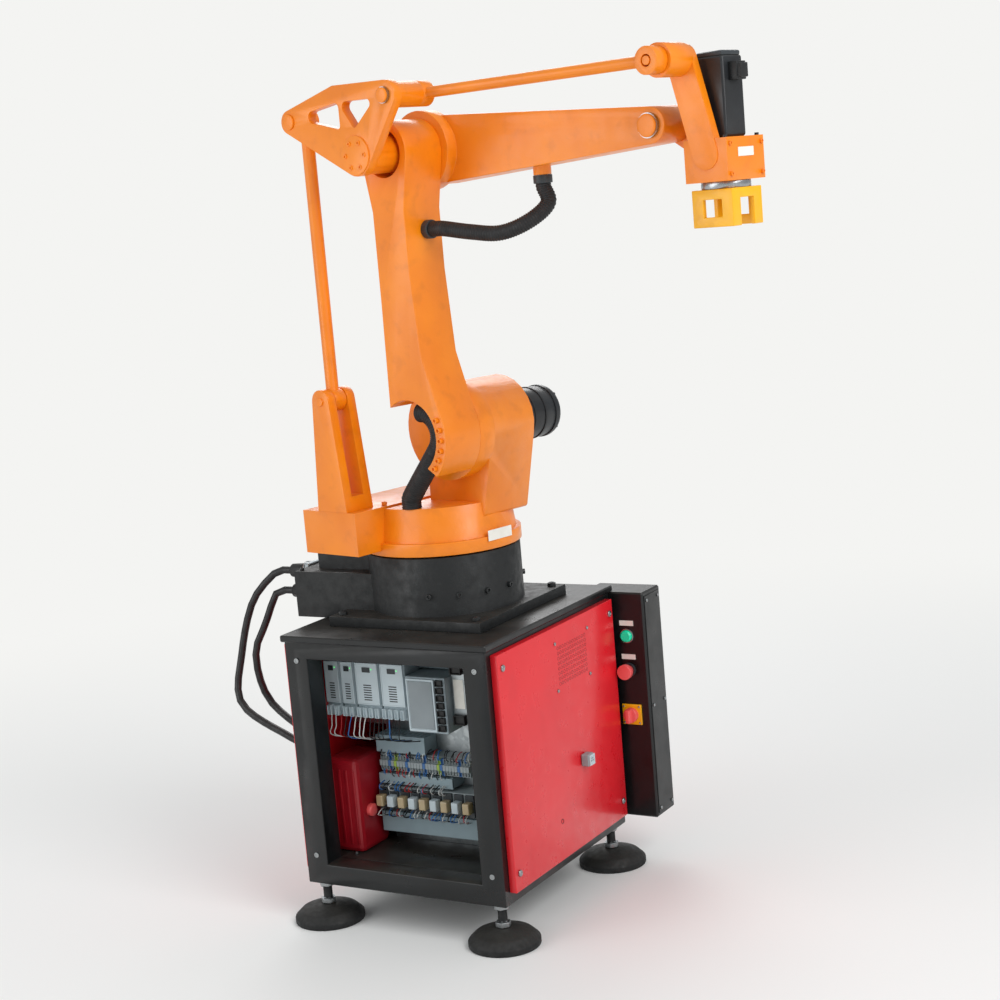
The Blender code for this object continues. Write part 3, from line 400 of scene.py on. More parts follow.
@dataclass(frozen=True)
class ZincPlate(Finish):
    """Zinc-plated sheet steel: pale metal with a cloudy spangle."""

    rough: float = 0.36

    def dress(self, skin: Skin) -> None:
        """Spangle cells 11 mm wide that shift the tone and the gloss."""
        cells = add_node(skin.tree, "ShaderNodeTexVoronoi", {"Scale": per_mm(11.0)}, {"Vector": skin.place})
        parts = add_node(skin.tree, "ShaderNodeSeparateColor", links={"Color": cells.outputs["Color"]})
        tone = parts.outputs["Red"]
        share = add_node(skin.tree, "ShaderNodeMath", {"operation": "MULTIPLY", 1: 0.4}, {0: tone})
        gloss = skin.spread(tone, {"To Min": self.rough - 0.08, "To Max": self.rough + 0.1})
        skin.feed({"Metallic": 1.0, "Roughness": gloss,
                   "Base Color": skin.blend(share.outputs["Value"], self.colour, "7C8487")})
        skin.relief((3.0, 0.04))


@dataclass(frozen=True)
class GroundSteel(Finish):
    """Turned or ground steel: bright, with fine streaks round the tool's path."""

    rough: float = 0.24

    def dress(self, skin: Skin) -> None:
        """Streaks 0.6 mm apart that are drawn 20 mm long."""
        stretch = (1.0, 1.0, 0.03)
        stretched = add_node(skin.tree, "ShaderNodeMapping", {"Scale": stretch}, {"Vector": skin.place})
        streaks = skin.noise(0.6, place=stretched.outputs["Vector"])
        gloss = skin.spread(streaks, {"To Min": self.rough - 0.06, "To Max": self.rough + 0.1})
        skin.feed({"Metallic": 1.0, "Roughness": gloss,
                   "Base Color": skin.blend(streaks, self.colour, "868A8D")})


@dataclass(frozen=True)
class Moulding(Finish):
    """Moulded plastic with a spark-eroded grain: even, dull and faintly pebbled."""

    rough: float = 0.48
    shade: str = "5F6C71"
    grain: float = 1.6

    def dress(self, skin: Skin) -> None:
        """A slow change of tone and the mould's pebble, which is drawn a little coarse."""
        skin.feed({"Base Color": skin.blend(skin.drift(60.0, 0.0, 0.22, 4.0), self.colour, self.shade),
                   "Roughness": skin.drift(14.0, self.rough - 0.06, self.rough + 0.08)})
        skin.relief((self.grain, 0.05))


@dataclass(frozen=True)
class Rubber(Finish):
    """Black rubber: matt, with a bloom of dust and a moulded skin."""

    bloom: str = "2C2C2C"
    rough: float = 0.58

    def dress(self, skin: Skin) -> None:
        """Bloom in soft clouds over the black."""
        colour = skin.blend(skin.drift(26.0, 0.0, 0.6, 5.0), self.colour, self.bloom)
        skin.feed({"Base Color": skin.dust(colour, "6B655B", 0.18),
                   "Roughness": skin.drift(12.0, self.rough - 0.1, self.rough + 0.12)})
        skin.relief((1.8, 0.05))


@dataclass(frozen=True)
class Gloss(Finish):
    """Polished plastic or lens: clear gloss with hairline scratches, and a glow where it is lit."""

    glow: float = 0.0

    def dress(self, skin: Skin) -> None:
        """Scratches in the gloss, and the lamp's own light."""
        other = "FFFFFF" if self.glow else "5E0E10"
        skin.feed({"Base Color": skin.blend(skin.drift(18.0, 0.0, 0.15), self.colour, other),
                   "Roughness": skin.drift(7.0, 0.12, 0.28, 5.0), "Coat Weight": 0.6, "Coat Roughness": 0.06})
        if self.glow:
            skin.feed({"Emission Color": tint(self.colour), "Emission Strength": self.glow})


@dataclass(frozen=True)
class PrintFilm(Finish):
    """Blank vinyl label film: clean, slightly off white, with a soft sheen."""

    def dress(self, skin: Skin) -> None:
        """A little yellowing in patches and an uneven lay."""
        skin.feed({"Base Color": skin.blend(skin.drift(24.0, 0.0, 0.3, 3.0), self.colour, "C9C4B4"),
                   "Roughness": skin.drift(9.0, 0.30, 0.42)})
        skin.relief((14.0, 0.05))


@dataclass(frozen=True)
class Paper(Finish):
    """Seamless studio paper: a pale sheet under the robot that turns into the bright backdrop further out."""

    backdrop: str = "F4F4F2"
    near: float = 1.3
    far: float = 4.2

    def dress(self, skin: Skin) -> None:
        """Lit paper near the robot, and an even glow from a few metres out."""
        reach = add_node(skin.tree, "ShaderNodeVectorMath", {"operation": "LENGTH"}, {0: skin.place})
        limits = {"interpolation_type": "SMOOTHSTEP", "From Min": self.near, "From Max": self.far}
        share = skin.spread(reach.outputs["Value"], limits)
        skin.feed({"Base Color": skin.blend(share, self.colour, "000000"), "Roughness": 0.9,
                   "Emission Color": tint(self.backdrop), "Emission Strength": share,
                   "Specular IOR Level": 0.0})


ORANGE = PaintedCasting("orange_painted_casting", "F68A02", "orange_paint")
YELLOW_PAINT = PaintedCasting("yellow_painted_steel", "FFBC00", "yellow_paint", "E09A00")
BLACK_CASTING = RawCasting("black_iron_casting", "0D1011")
BLACK_ENAMEL = Enamel("black_enamel", "090B0C", "black_paint")
CRIMSON_ENAMEL = Enamel("crimson_enamel", "A31220", "transformer_red", "7C0E18", "7A4038")
MOTOR_BLACK = Enamel("motor_enamel", "15171A", "motor_black", "2A2F33")
RED_COAT = PowderCoat("red_powder_coat", "E41C28", "red_panel")
ZINC = ZincPlate("zinc_plated_sheet", "B0B6B8")
BRIGHT_STEEL = GroundSteel("ground_steel", "C4C7C9", "bright_steel")
SCREW_STEEL = GroundSteel("zinc_screw", "B9BCBC", "bright_steel", 0.34)
BLACK_SCREW = Moulding("blackened_screw", "1B1D1E", "black_casting", 0.38, "34383A")
DRIVE_GREY = Moulding("drive_housing", "A9B8BE")
COVER_WHITE = Moulding("drive_cover", "C3D0D5", "grey_plastic", 0.42, "9CADB3")
DUCT_GREY = Moulding("duct_moulding", "8FA3AA", "duct_plastic")
DARK_GREY = Moulding("dark_moulding", "30363A", "black_rubber", 0.42, "1D2124")
SOCKET_BLACK = Moulding("socket_moulding", "0C0D0E", "black_rubber", 0.5, "1A1C1E")
TERMINAL_GREY = Moulding("terminal_grey", "98A2A4", "grey_plastic", 0.42)
TERMINAL_BLUE = Moulding("terminal_blue", "3E6FA8", "grey_plastic", 0.4, "2C5080")
TERMINAL_GREEN = Moulding("terminal_green", "9DB84A", "grey_plastic", 0.4, "6F8C2E")
MODULE_GREY = Moulding("controller_cover", "8E979B", "grey_plastic", 0.5, "5E666A", 6.0)
CABLE_RUBBER = Rubber("cable_sheath", "0B0B0C", rough=0.46)
HOSE_RUBBER = Rubber("corrugated_hose", "0A0A0B", bloom="242426")
FOOT_RUBBER = Rubber("foot_rubber", "0C0D0D", bloom="1F2020", rough=0.66)
GREEN_LENS = Gloss("green_lens", "00D070", glow=5.0)
SMALL_LED = Gloss("green_led", "38E05A", "green_lens", 2.0)
RED_GLOSS = Gloss("red_button", "D2181B", "red_button")
RELAY_AMBER = Gloss("relay_cover", "B5A27A", "grey_plastic")
LABEL = PrintFilm("blank_label", "F0EEE6", "grey_plastic")
STUDIO_PAPER = Paper("studio_paper", "F1F1EF")
WIRE_COLOURS = {colour: Moulding(f"{colour}_wire", *look) for colour, look in {
    "blue": ("2F6FB4", None, 0.4, "24558A"), "black": ("141516", None, 0.4, "2A2B2C"),
    "white": ("D5D7D4", None, 0.42, "A9ACA9"), "earth": ("B9CF3A", None, 0.42, "5E8A2A"),
    "red": ("B3262A", None, 0.4, "801A1E")}.items()}

PANELS = ("panel_left", "panel_right", "panel_back")
DRIVES = tuple(f"servo_drive_{number}" for number in (1, 2, 3, 4))
DUCTS = ("upper_duct", "middle_duct", "lower_duct", "bottom_duct")
FEET = ("foot_front_left", "foot_front_right", "foot_back_left", "foot_back_right")
MOTORS = ("j2_motor", "j3_motor", "j4_motor")
PLUGS = ("cable_plug_1", "cable_plug_2")
GLANDS = ("cable_gland_1", "cable_gland_2")

NODE_FINISHES: dict[Finish, tuple[str, ...]] = {
    ORANGE: ("turret", "rear_bracket", "lower_arm", "rear_rod", "elbow_link", "upper_rod", "forearm",
             "wrist_head"),
    BLACK_CASTING: ("robot_base",),
    BLACK_ENAMEL: ("cabinet_frame", "top_plate", "floor_plate", "control_box"),
    RED_COAT: PANELS, YELLOW_PAINT: ("tool_bracket",), CRIMSON_ENAMEL: ("transformer",),
    ZINC: ("mounting_plate", "line_filter", "connector_plate"),
    BRIGHT_STEEL: ("elbow_pin", "wrist_pin", "tool_flange"), DRIVE_GREY: (*DRIVES, "motion_controller"),
    TERMINAL_GREY: ("terminal_row", "relay_row", "power_inlet"), DUCT_GREY: DUCTS, MOTOR_BLACK: MOTORS,
    CABLE_RUBBER: PLUGS, DARK_GREY: GLANDS, FOOT_RUBBER: FEET, GREEN_LENS: ("power_lamp",),
    RED_GLOSS: ("stop_button",),
}

EDGE_ROUNDING: dict[str, float] = {name: width for width, names in (
    (0.004, ("turret", "lower_arm", "forearm", "robot_base")),
    (0.003, ("rear_bracket", "elbow_link", "wrist_head", *MOTORS)),
    (0.0025, ("cabinet_frame",)), (0.002, FEET),
    (0.0015, ("rear_rod", "upper_rod", "tool_bracket", "stop_button", *PLUGS)),
    (0.0012, (*PANELS, *GLANDS)), (0.001, ("tool_flange",)), (0.0005, ("mounting_plate", "floor_plate")),
) for name in names}


def soften_node(part: bpy.types.Object, width: float) -> None:
    """Round the edges of a CAD node with live modifiers, its own mesh untouched.

    Args:
        part: the node's object.
        width: the rounding in metres.
    """
    for face in part.data.polygons:
        face.use_smooth = True
    weld = part.modifiers.new("Merge facets", "WELD")
    weld.merge_threshold = 0.00002
    flat = part.modifiers.new("Join flat facets", "DECIMATE")
    flat.decimate_type = "DISSOLVE"
    flat.angle_limit = math.radians(0.6)
    edge = part.modifiers.new("Rounded edges", "BEVEL")
    edge.width = width
    edge.segments = 2
    edge.limit_method = "ANGLE"
    edge.angle_limit = math.radians(28)
    edge.harden_normals = True
    edge.use_clamp_overlap = True


def dress_nodes(nodes: dict[str, bpy.types.Object]) -> None:
    """Give every CAD node that shows its finish, and soften its edges.

    Args:
        nodes: the node objects by name.
    """
    for finish, names in NODE_FINISHES.items():
        for name in names:
            part = nodes[name]
            part.data.materials.clear()
            part.data.materials.append(finish.material())
            if name in EDGE_ROUNDING:
                soften_node(part, EDGE_ROUNDING[name])
        LOG.info("finish %s on %s", finish.name, ", ".join(names))


# Pieces shaped with Blender's own operators


class Blank:
    """A primitive that is shaped into a piece in edit mode."""

    def __init__(self, thing: bpy.types.Object) -> None:
        """Take an object as the blank."""
        self.thing = thing

    @classmethod
    def adopt(cls) -> Blank:
        """The primitive that was just added, with its place in its mesh."""
        bpy.ops.object.transform_apply(location=True, rotation=True, scale=True)
        return cls(bpy.context.active_object)

    @classmethod
    def block(cls, low: Sequence[float], high: Sequence[float]) -> Blank:
        """A block between two corners."""
        deselect_all()
        middle = [(a + b) / 2 for a, b in zip(low, high)]
        bpy.ops.mesh.primitive_cube_add(size=1.0, location=middle, scale=[b - a for a, b in zip(low, high)])
        return cls.adopt()

    @classmethod
    def slab(cls, across: float, deep: float, low: float, high: float) -> Blank:
        """A block round the Z axis between two heights, given its half sizes."""
        return cls.block((-across, -deep, low), (across, deep, high))

    @classmethod
    def on_front(cls, front: float, x: Pair, z: Pair, proud: float, sunk: float = 0.001) -> Blank:
        """A block on a front that looks along -Y.

        Args:
            front: the front's place on Y.
            x: the block's ends across.
            z: its ends in height.
            proud: how far it stands off the front.
            sunk: how far it goes into it; below zero, its back is clear of the front.

        Returns:
            The block.
        """
        return cls.block((x[0], front - proud, z[0]), (x[1], front + sunk, z[1]))

    @classmethod
    def rod(cls, radius: float, depth: float, vertices: int = 20, base: float = 0.0) -> Blank:
        """A rod along +Z that starts at a height."""
        deselect_all()
        bpy.ops.mesh.primitive_cylinder_add(vertices=vertices, radius=radius, depth=depth,
                                            location=(0, 0, base + depth / 2))
        return cls.adopt()

    @classmethod
    def ring(cls, inner: float, outer: float, depth: float, vertices: int = 32) -> Blank:
        """A flat ring along +Z, made by insetting a rod's ends and joining them through it."""
        made = cls.rod(outer, depth, vertices)
        made.pick(lambda centre, normal: abs(normal.z) > FACING).inset(outer - inner)
        bpy.ops.mesh.bridge_edge_loops()
        return made

    def activate(self) -> None:
        """Make this the only selected object, in object mode."""
        deselect_all()
        self.thing.select_set(True)
        bpy.context.view_layer.objects.active = self.thing

    def pick(self, test: FaceTest) -> Blank:
        """Select faces by their centre and normal, and stay in edit mode.

        Args:
            test: says whether a face with this centre and normal is wanted.

        Returns:
            This blank.
        """
        self.activate()
        bpy.context.tool_settings.mesh_select_mode = (False, False, True)
        mesh = self.thing.data
        for corner in mesh.vertices:
            corner.select = False
        for edge in mesh.edges:
            edge.select = False
        for face in mesh.polygons:
            face.select = test(face.center, face.normal)
        bpy.ops.object.mode_set(mode="EDIT")
        return self

    def face(self, way: Triple = UP) -> Blank:
        """Pick the faces that look one way."""
        ahead = Vector(way)
        return self.pick(lambda centre, normal: normal.dot(ahead) > FACING)

    def inset(self, thickness: float, depth: float = 0.0, apart: bool = False) -> Blank:
        """Inset the picked faces, and sink or raise what is inside."""
        bpy.ops.mesh.inset(thickness=thickness, depth=depth, use_individual=apart)
        return self

    def extrude(self, move: Sequence[float]) -> Blank:
        """Extrude the picked faces by a vector."""
        bpy.ops.mesh.extrude_region_move(TRANSFORM_OT_translate={"value": tuple(move)})
        return self

    def recess(self, rim: float, depth: float, way: Triple = UP) -> Blank:
        """Sink the faces that look one way, inside a rim."""
        return self.face(way).inset(rim).extrude(Vector(way) * -depth)

    def resize(self, factors: Sequence[float]) -> Blank:
        """Scale the picked faces about their middle."""
        bpy.ops.transform.resize(value=tuple(factors))
        return self

    def bisect(self, place: Sequence[float], normal: Sequence[float]) -> Blank:
        """Cut the whole mesh by a plane, keeping both sides."""
        self.pick(lambda centre, direction: True)
        bpy.ops.mesh.bisect(plane_co=tuple(place), plane_no=tuple(normal))
        return self

    def soften(self, width: float, segments: int = 2, angle: float = 35.0) -> Blank:
        """Bevel the edges that are sharper than an angle, in degrees."""
        self.activate()
        edge = self.thing.modifiers.new("Rounded edges", "BEVEL")
        edge.width = width
        edge.segments = segments
        edge.limit_method = "ANGLE"
        edge.angle_limit = math.radians(angle)
        bpy.ops.object.modifier_apply(modifier=edge.name)
        return self

    def seat(self, place: Matrix) -> Blank:
        """Move the piece to its seat, the place in its mesh."""
        self.activate()
        self.thing.matrix_world = place
        bpy.ops.object.transform_apply(location=True, rotation=True, scale=True)
        return self

    def copies(self, seats: Iterable[Matrix]) -> Blank:
        """Copy the piece to each seat, each copy with its own mesh, and join them into one piece."""
        self.activate()
        made = []
        for seat in seats:
            twin = self.thing.copy()
            twin.data = self.thing.data.copy()
            bpy.context.scene.collection.objects.link(twin)
            twin.matrix_world = seat
            made.append(twin)
        bpy.data.objects.remove(self.thing, do_unlink=True)
        return Blank.joined(made)

    @classmethod
    def joined(cls, things: Sequence[bpy.types.Object]) -> Blank:
        """Join objects into one piece with its place in its mesh."""
        deselect_all()
        for thing in things:
            thing.select_set(True)
        bpy.context.view_layer.objects.active = things[0]
        if len(things) > 1:
            bpy.ops.object.join()
        bpy.ops.object.transform_apply(location=True, rotation=True, scale=True)
        return cls(bpy.context.view_layer.objects.active)

    def finish(self, name: str, finish: Finish, body: str, slot: str | None = None) -> bpy.types.Object:
        """Name the piece, give it its finish and let it ride on its body.

        Args:
            name: the piece's name.
            finish: its surface finish.
            body: the CAD body that carries it.
            slot: the record's material slot, where it isn't the finish's own. Not used.

        Returns:
            The finished object.
        """
        self.activate()
        bpy.ops.object.shade_smooth_by_angle(angle=SMOOTH_BELOW)
        self.thing.name = name
        self.thing.data.name = name
        self.thing.data.materials.clear()
        self.thing.data.materials.append(finish.material())
        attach(self.thing, body)
        slot = slot or finish.slot
        LOG.info("piece %s on %s: %d faces", name, body, len(self.thing.data.polygons))
        return self.thing


class Head(Enum):
    """How a screw's head is driven."""

    SOCKET = "cylinder head with a socket"
    HEXAGON = "hexagon head or nut"
    DOMED = "domed head with a slot"


@dataclass(frozen=True)
class Screw:
    """A screw head of one size, modelled once and copied."""

    head: Head
    radius: float
    height: float

    def blank(self) -> Blank:
        """The head, standing on the origin along +Z."""
        made = Blank.rod(self.radius, self.height, 6 if self.head is Head.HEXAGON else 16).face()
        if self.head is Head.SOCKET:
            made.inset(self.radius * 0.45).extrude((0, 0, -self.height * 0.55))
        elif self.head is Head.DOMED:
            made.inset(self.radius * 0.45, self.height * 0.35)
            made.inset(self.radius * 0.25).extrude((0, 0, -self.height * 0.5))
        else:
            made.inset(self.radius * 0.3).extrude((0, 0, self.height * 0.2))
        return made.soften(self.radius * 0.09, 1)

    def fix(self, name: str, seats: Sequence[Matrix], finish: Finish, body: str,
            slot: str | None = None) -> None:
        """Put a screw on every seat, all as one piece.

        Args:
            name: the piece's name.
            seats: a seat for each screw.
            finish: the screws' finish.
            body: the CAD body that carries them.
            slot: the record's material slot, where it isn't the finish's own.
        """
        self.blank().copies(seats).finish(name, finish, body, slot)


M3 = Screw(Head.DOMED, 0.0026, 0.0014)
M4 = Screw(Head.DOMED, 0.0042, 0.0026)
M5 = Screw(Head.SOCKET, 0.0044, 0.0050)
M6 = Screw(Head.SOCKET, 0.0052, 0.0060)
M8 = Screw(Head.SOCKET, 0.0066, 0.0080)
M12 = Screw(Head.HEXAGON, 0.0110, 0.0085)
PANEL_SCREW = Screw(Head.DOMED, 0.0078, 0.0038)
FOOT_NUT = Screw(Head.HEXAGON, 0.0190, 0.0120)


def circle_seats(centre: Vector, axis: Vector, radius: float, count: int, start: float = 0.0,
                 sweep: float = 360.0) -> list[Matrix]:
    """Seats evenly round a circle.

    Args:
        centre: the circle's middle.
        axis: where the screws' heads point.
        radius: the circle's radius.
        count: how many seats.
        start: angle of the first, in degrees.
        sweep: the arc that they cover, in degrees.

    Returns:
        The seats.
    """
    side = axis.cross(Vector(UP) if abs(axis.z) < FACING else Vector(RIGHT)).normalized()
    other = axis.cross(side).normalized()
    gaps = count if sweep >= 360 else count - 1
    seats = []
    for index in range(count):
        angle = math.radians(start + sweep * index / gaps)
        spoke = side * radius * math.cos(angle)
        seats.append(aim(centre + spoke + other * radius * math.sin(angle), axis, angle))
    return seats


def smooth_path(points: Sequence[Sequence[float]], spacing: float) -> list[Vector]:
    """Points at an even spacing along a smooth curve, straight at both ends.

    Args:
        points: the route's own points.
        spacing: the distance between the new ones.

    Returns:
        The points of the curve.
    """
    route = [Vector(p) for p in points]
    dense: list[Vector] = []
    for before, start, stop, after in zip(route, route[1:], route[2:], route[3:]):
        steps = max(4, int((stop - start).length / spacing * 3))
        for i in range(steps):
            t = i / steps
            dense.append(0.5 * (2 * start + (stop - before) * t
                                + (2 * before - 5 * start + 4 * stop - after) * t ** 2
                                + (3 * start - before - 3 * stop + after) * t ** 3))
    chosen = route[:2]
    for point in dense[1:]:
        if (point - chosen[-1]).length >= spacing and (point - route[-2]).length >= spacing * 0.6:
            chosen.append(point)
    return [*chosen, *route[-2:]]


def line(name: str, path: Sequence[Vector], radius: float, sides: int = 4) -> bpy.types.Object:
    """A round cable or wire as a curve through points.

    Args:
        name: the curve's name.
        path: its points.
        radius: its radius; 0 makes a bare line.
        sides: the bevel's resolution.

    Returns:
        The curve object.
    """
    curve = bpy.data.curves.new(name, "CURVE")
    curve.dimensions = "3D"
    curve.bevel_depth = radius
    curve.bevel_resolution = sides
    curve.use_fill_caps = True
    spline = curve.splines.new("POLY")
    spline.points.add(len(path) - 1)
    for point, at in zip(spline.points, path):
        point.co = (*at, 1.0)
    made = bpy.data.objects.new(name, curve)
    bpy.context.scene.collection.objects.link(made)
    return made


def path_length(path: Sequence[Vector]) -> float:
    """Length of a line through points."""
    return sum((b - a).length for a, b in zip(path, path[1:]))


def corrugated(name: str, route: Sequence[Vector], radius: float, pitch: float) -> bpy.types.Object:
    """A corrugated hose: one rib, repeated and bent along a smooth line.

    Args:
        name: the piece's name.
        route: the line's own points in the row frame.
        radius: the hose's outer radius.
        pitch: the distance from rib to rib.

    Returns:
        The hose as a mesh.
    """
    path = smooth_path(route, pitch)
    guide = line(f"{name}_guide", path, 0.0)
    count = int(path_length(path) / pitch)
    deselect_all()
    bpy.ops.mesh.primitive_cylinder_add(vertices=20, radius=radius, depth=pitch, end_fill_type="NOTHING",
                                        location=(pitch / 2, 0, 0), rotation=(0, math.pi / 2, 0))
    rib = Blank.adopt()
    for share in (0.12, 0.34, 0.66, 0.88):
        rib.bisect((pitch * share, 0, 0), RIGHT)
    rib.pick(lambda centre, normal: abs(centre.x / pitch - 0.5) > 0.4).resize((1.0, 0.94, 0.94)).activate()
    row = rib.thing.modifiers.new("Ribs", "ARRAY")
    row.count = count
    row.use_relative_offset = False
    row.use_constant_offset = True
    row.constant_offset_displace = (pitch, 0, 0)
    row.use_merge_vertices = True
    row.merge_threshold = pitch * 0.05
    bend = rib.thing.modifiers.new("Route", "CURVE")
    bend.object = guide
    for modifier in (row.name, bend.name):
        bpy.ops.object.modifier_apply(modifier=modifier)
    bpy.ops.object.mode_set(mode="EDIT")
    bpy.ops.mesh.select_all(action="SELECT")
    bpy.ops.mesh.fill_holes(sides=0)
    bpy.ops.mesh.normals_make_consistent(inside=False)
    bpy.ops.object.mode_set(mode="OBJECT")
    bpy.data.objects.remove(guide, do_unlink=True)
    bpy.ops.object.shade_smooth_by_angle(angle=HOSE_SMOOTH_BELOW)
    rib.thing.name = name
    rib.thing.data.name = name
    rib.thing.data.materials.append(HOSE_RUBBER.material())
    LOG.info("hose %s: %d ribs", name, count)
    return rib.thing


# Sub-assemblies


@dataclass
class Cabinet:
    """The welded cabinet: panel screws, vent, louvres, feet and the table's bolts."""

    body: str = "pedestal"
    half_width: float = 0.275
    half_depth: float = 0.31
    panel_proud: float = 0.0183
    screw_heights: Pair = (0.172, 0.655)
    screw_inset: float = 0.042
    back_screw_right: float = 0.176
    vent_centre: Pair = (0.063, 0.592)
    vent_size: Pair = (0.150, 0.098)
    vent_holes: tuple[int, int] = (12, 8)
    knockout: Pair = (-0.049, 0.223)
    louvre_size: Pair = (0.118, 0.012)
    louvre_levels: Pair = (0.602, 0.566)
    foot_spread: Pair = (0.245, 0.28)
    foot_nut_levels: Pair = (0.0435, 0.0862)
    table_bolt: Triple = (0.185, 0.185, 0.7406)

    def build(self) -> None:
        """Make every piece of the cabinet."""
        self.panel_screws()
        self.vent()
        self.louvres()
        self.feet()
        self.front_fixings()

    def _panel_seat(self, side: str, along: float, height: float, lift: float = 0.0) -> Matrix:
        """A seat on the outside of a panel.

        Args:
            side: left, right or back.
            along: place along the panel, in the pedestal's own X or Y.
            height: height above the floor.
            lift: distance off the panel.

        Returns:
            The seat.
        """
        if side == "back":
            return PEDESTAL.spot((along, self.half_depth + self.panel_proud + lift, height), BACK)
        sign = 1 if side == "right" else -1
        out = self.half_width + self.panel_proud + lift
        return PEDESTAL.spot((sign * out, along, height), (sign, 0, 0))

    def panel_screws(self) -> None:
        """Screws at the corners of each red panel."""
        side = self.half_depth - self.screw_inset
        seats = []
        for height in self.screw_heights:
            seats += [self._panel_seat(panel, along, height)
                      for along in (-side, side) for panel in ("right", "left")]
            seats += [self._panel_seat("back", along, height)
                      for along in (-self.half_width + self.screw_inset, self.back_screw_right)]
        PANEL_SCREW.fix("panel_screws", seats, SCREW_STEEL, self.body)

    def vent(self) -> None:
        """The perforated field on the right panel, over the fan behind it."""
        width, height = self.vent_size
        columns, rows = self.vent_holes
        middle, level = self.vent_centre
        seats = [self._panel_seat("right", middle + width * ((column + 0.5) / columns - 0.5),
                                  level + height * ((row + 0.5) / rows - 0.5), -0.0006)
                 for column in range(columns) for row in range(rows)]
        Blank.rod(0.0043, 0.0009, 12).recess(0.0006, 0.0005).copies(seats).finish(
            "vent_holes", SOCKET_BLACK, self.body)
        seats = [self._panel_seat("right", middle + y, level + z)
                 for y, z in four(width / 2 + 0.008, height / 2 + 0.008)]
        M4.fix("vent_screws", seats, SCREW_STEEL, self.body)
        seat = self._panel_seat("right", *self.knockout, -0.0004)
        Blank.rod(0.006, 0.001, 20).recess(0.0012, 0.0006).seat(seat).finish(
            "panel_knockout", SOCKET_BLACK, self.body)

    def louvres(self) -> None:
        """Two rows of pressed slots near the top of the left and the back panel."""
        length, height = self.louvre_size
        seats = []
        for level in self.louvre_levels:
            seats += [self._panel_seat("left", (column - 1) * (length + 0.022), level)
                      @ Matrix.Rotation(math.pi / 2, 4, "Z") for column in range(3)]
            seats += [self._panel_seat("back", -0.029 + (column - 0.5) * (length + 0.03), level)
                      for column in range(2)]
        slot = Blank.slab(length / 2, height / 2, 0, 0.0045).face().resize((0.94, 0.35, 1.0))
        slot.pick(lambda centre, normal: normal.y < -0.4).inset(0.0012).extrude((0, 0.0006, 0))
        slot.soften(0.0008).copies(seats).finish("panel_louvres", RED_COAT, self.body)

    def feet(self) -> None:
        """Lock nuts on the levelling feet, under the frame and on the pad."""
        seats = [PEDESTAL.spot((x, y, level), UP, math.copysign(0.3, x))
                 for x, y in four(*self.foot_spread) for level in self.foot_nut_levels]
        FOOT_NUT.fix("foot_lock_nuts", seats, SCREW_STEEL, self.body)

    def front_fixings(self) -> None:
        """Rivet nuts round the open front where its panel screws on, and the table's bolts."""
        side = self.half_width - 0.030
        seats = [PEDESTAL.spot((x, -self.half_depth - 0.0004, height), FRONT)
                 for x in (-side, side) for height in self.screw_heights]
        Blank.rod(0.0065, 0.0014, 20).recess(0.0028, 0.001).soften(0.0003, 1).copies(seats).finish(
            "front_rivet_nuts", SCREW_STEEL, self.body)
        across, deep, top = self.table_bolt
        M12.fix("base_bolts", [PEDESTAL.spot((x, y, top), UP, 0.2) for x, y in four(across, deep)],
                BLACK_SCREW, self.body)


@dataclass(frozen=True)
class WireRow:
    """A row of wires between a row of devices and a duct, in the pedestal's own directions."""

    name: str
    start: float
    stop: float
    face: float
    count: int
    left: float
    right: float


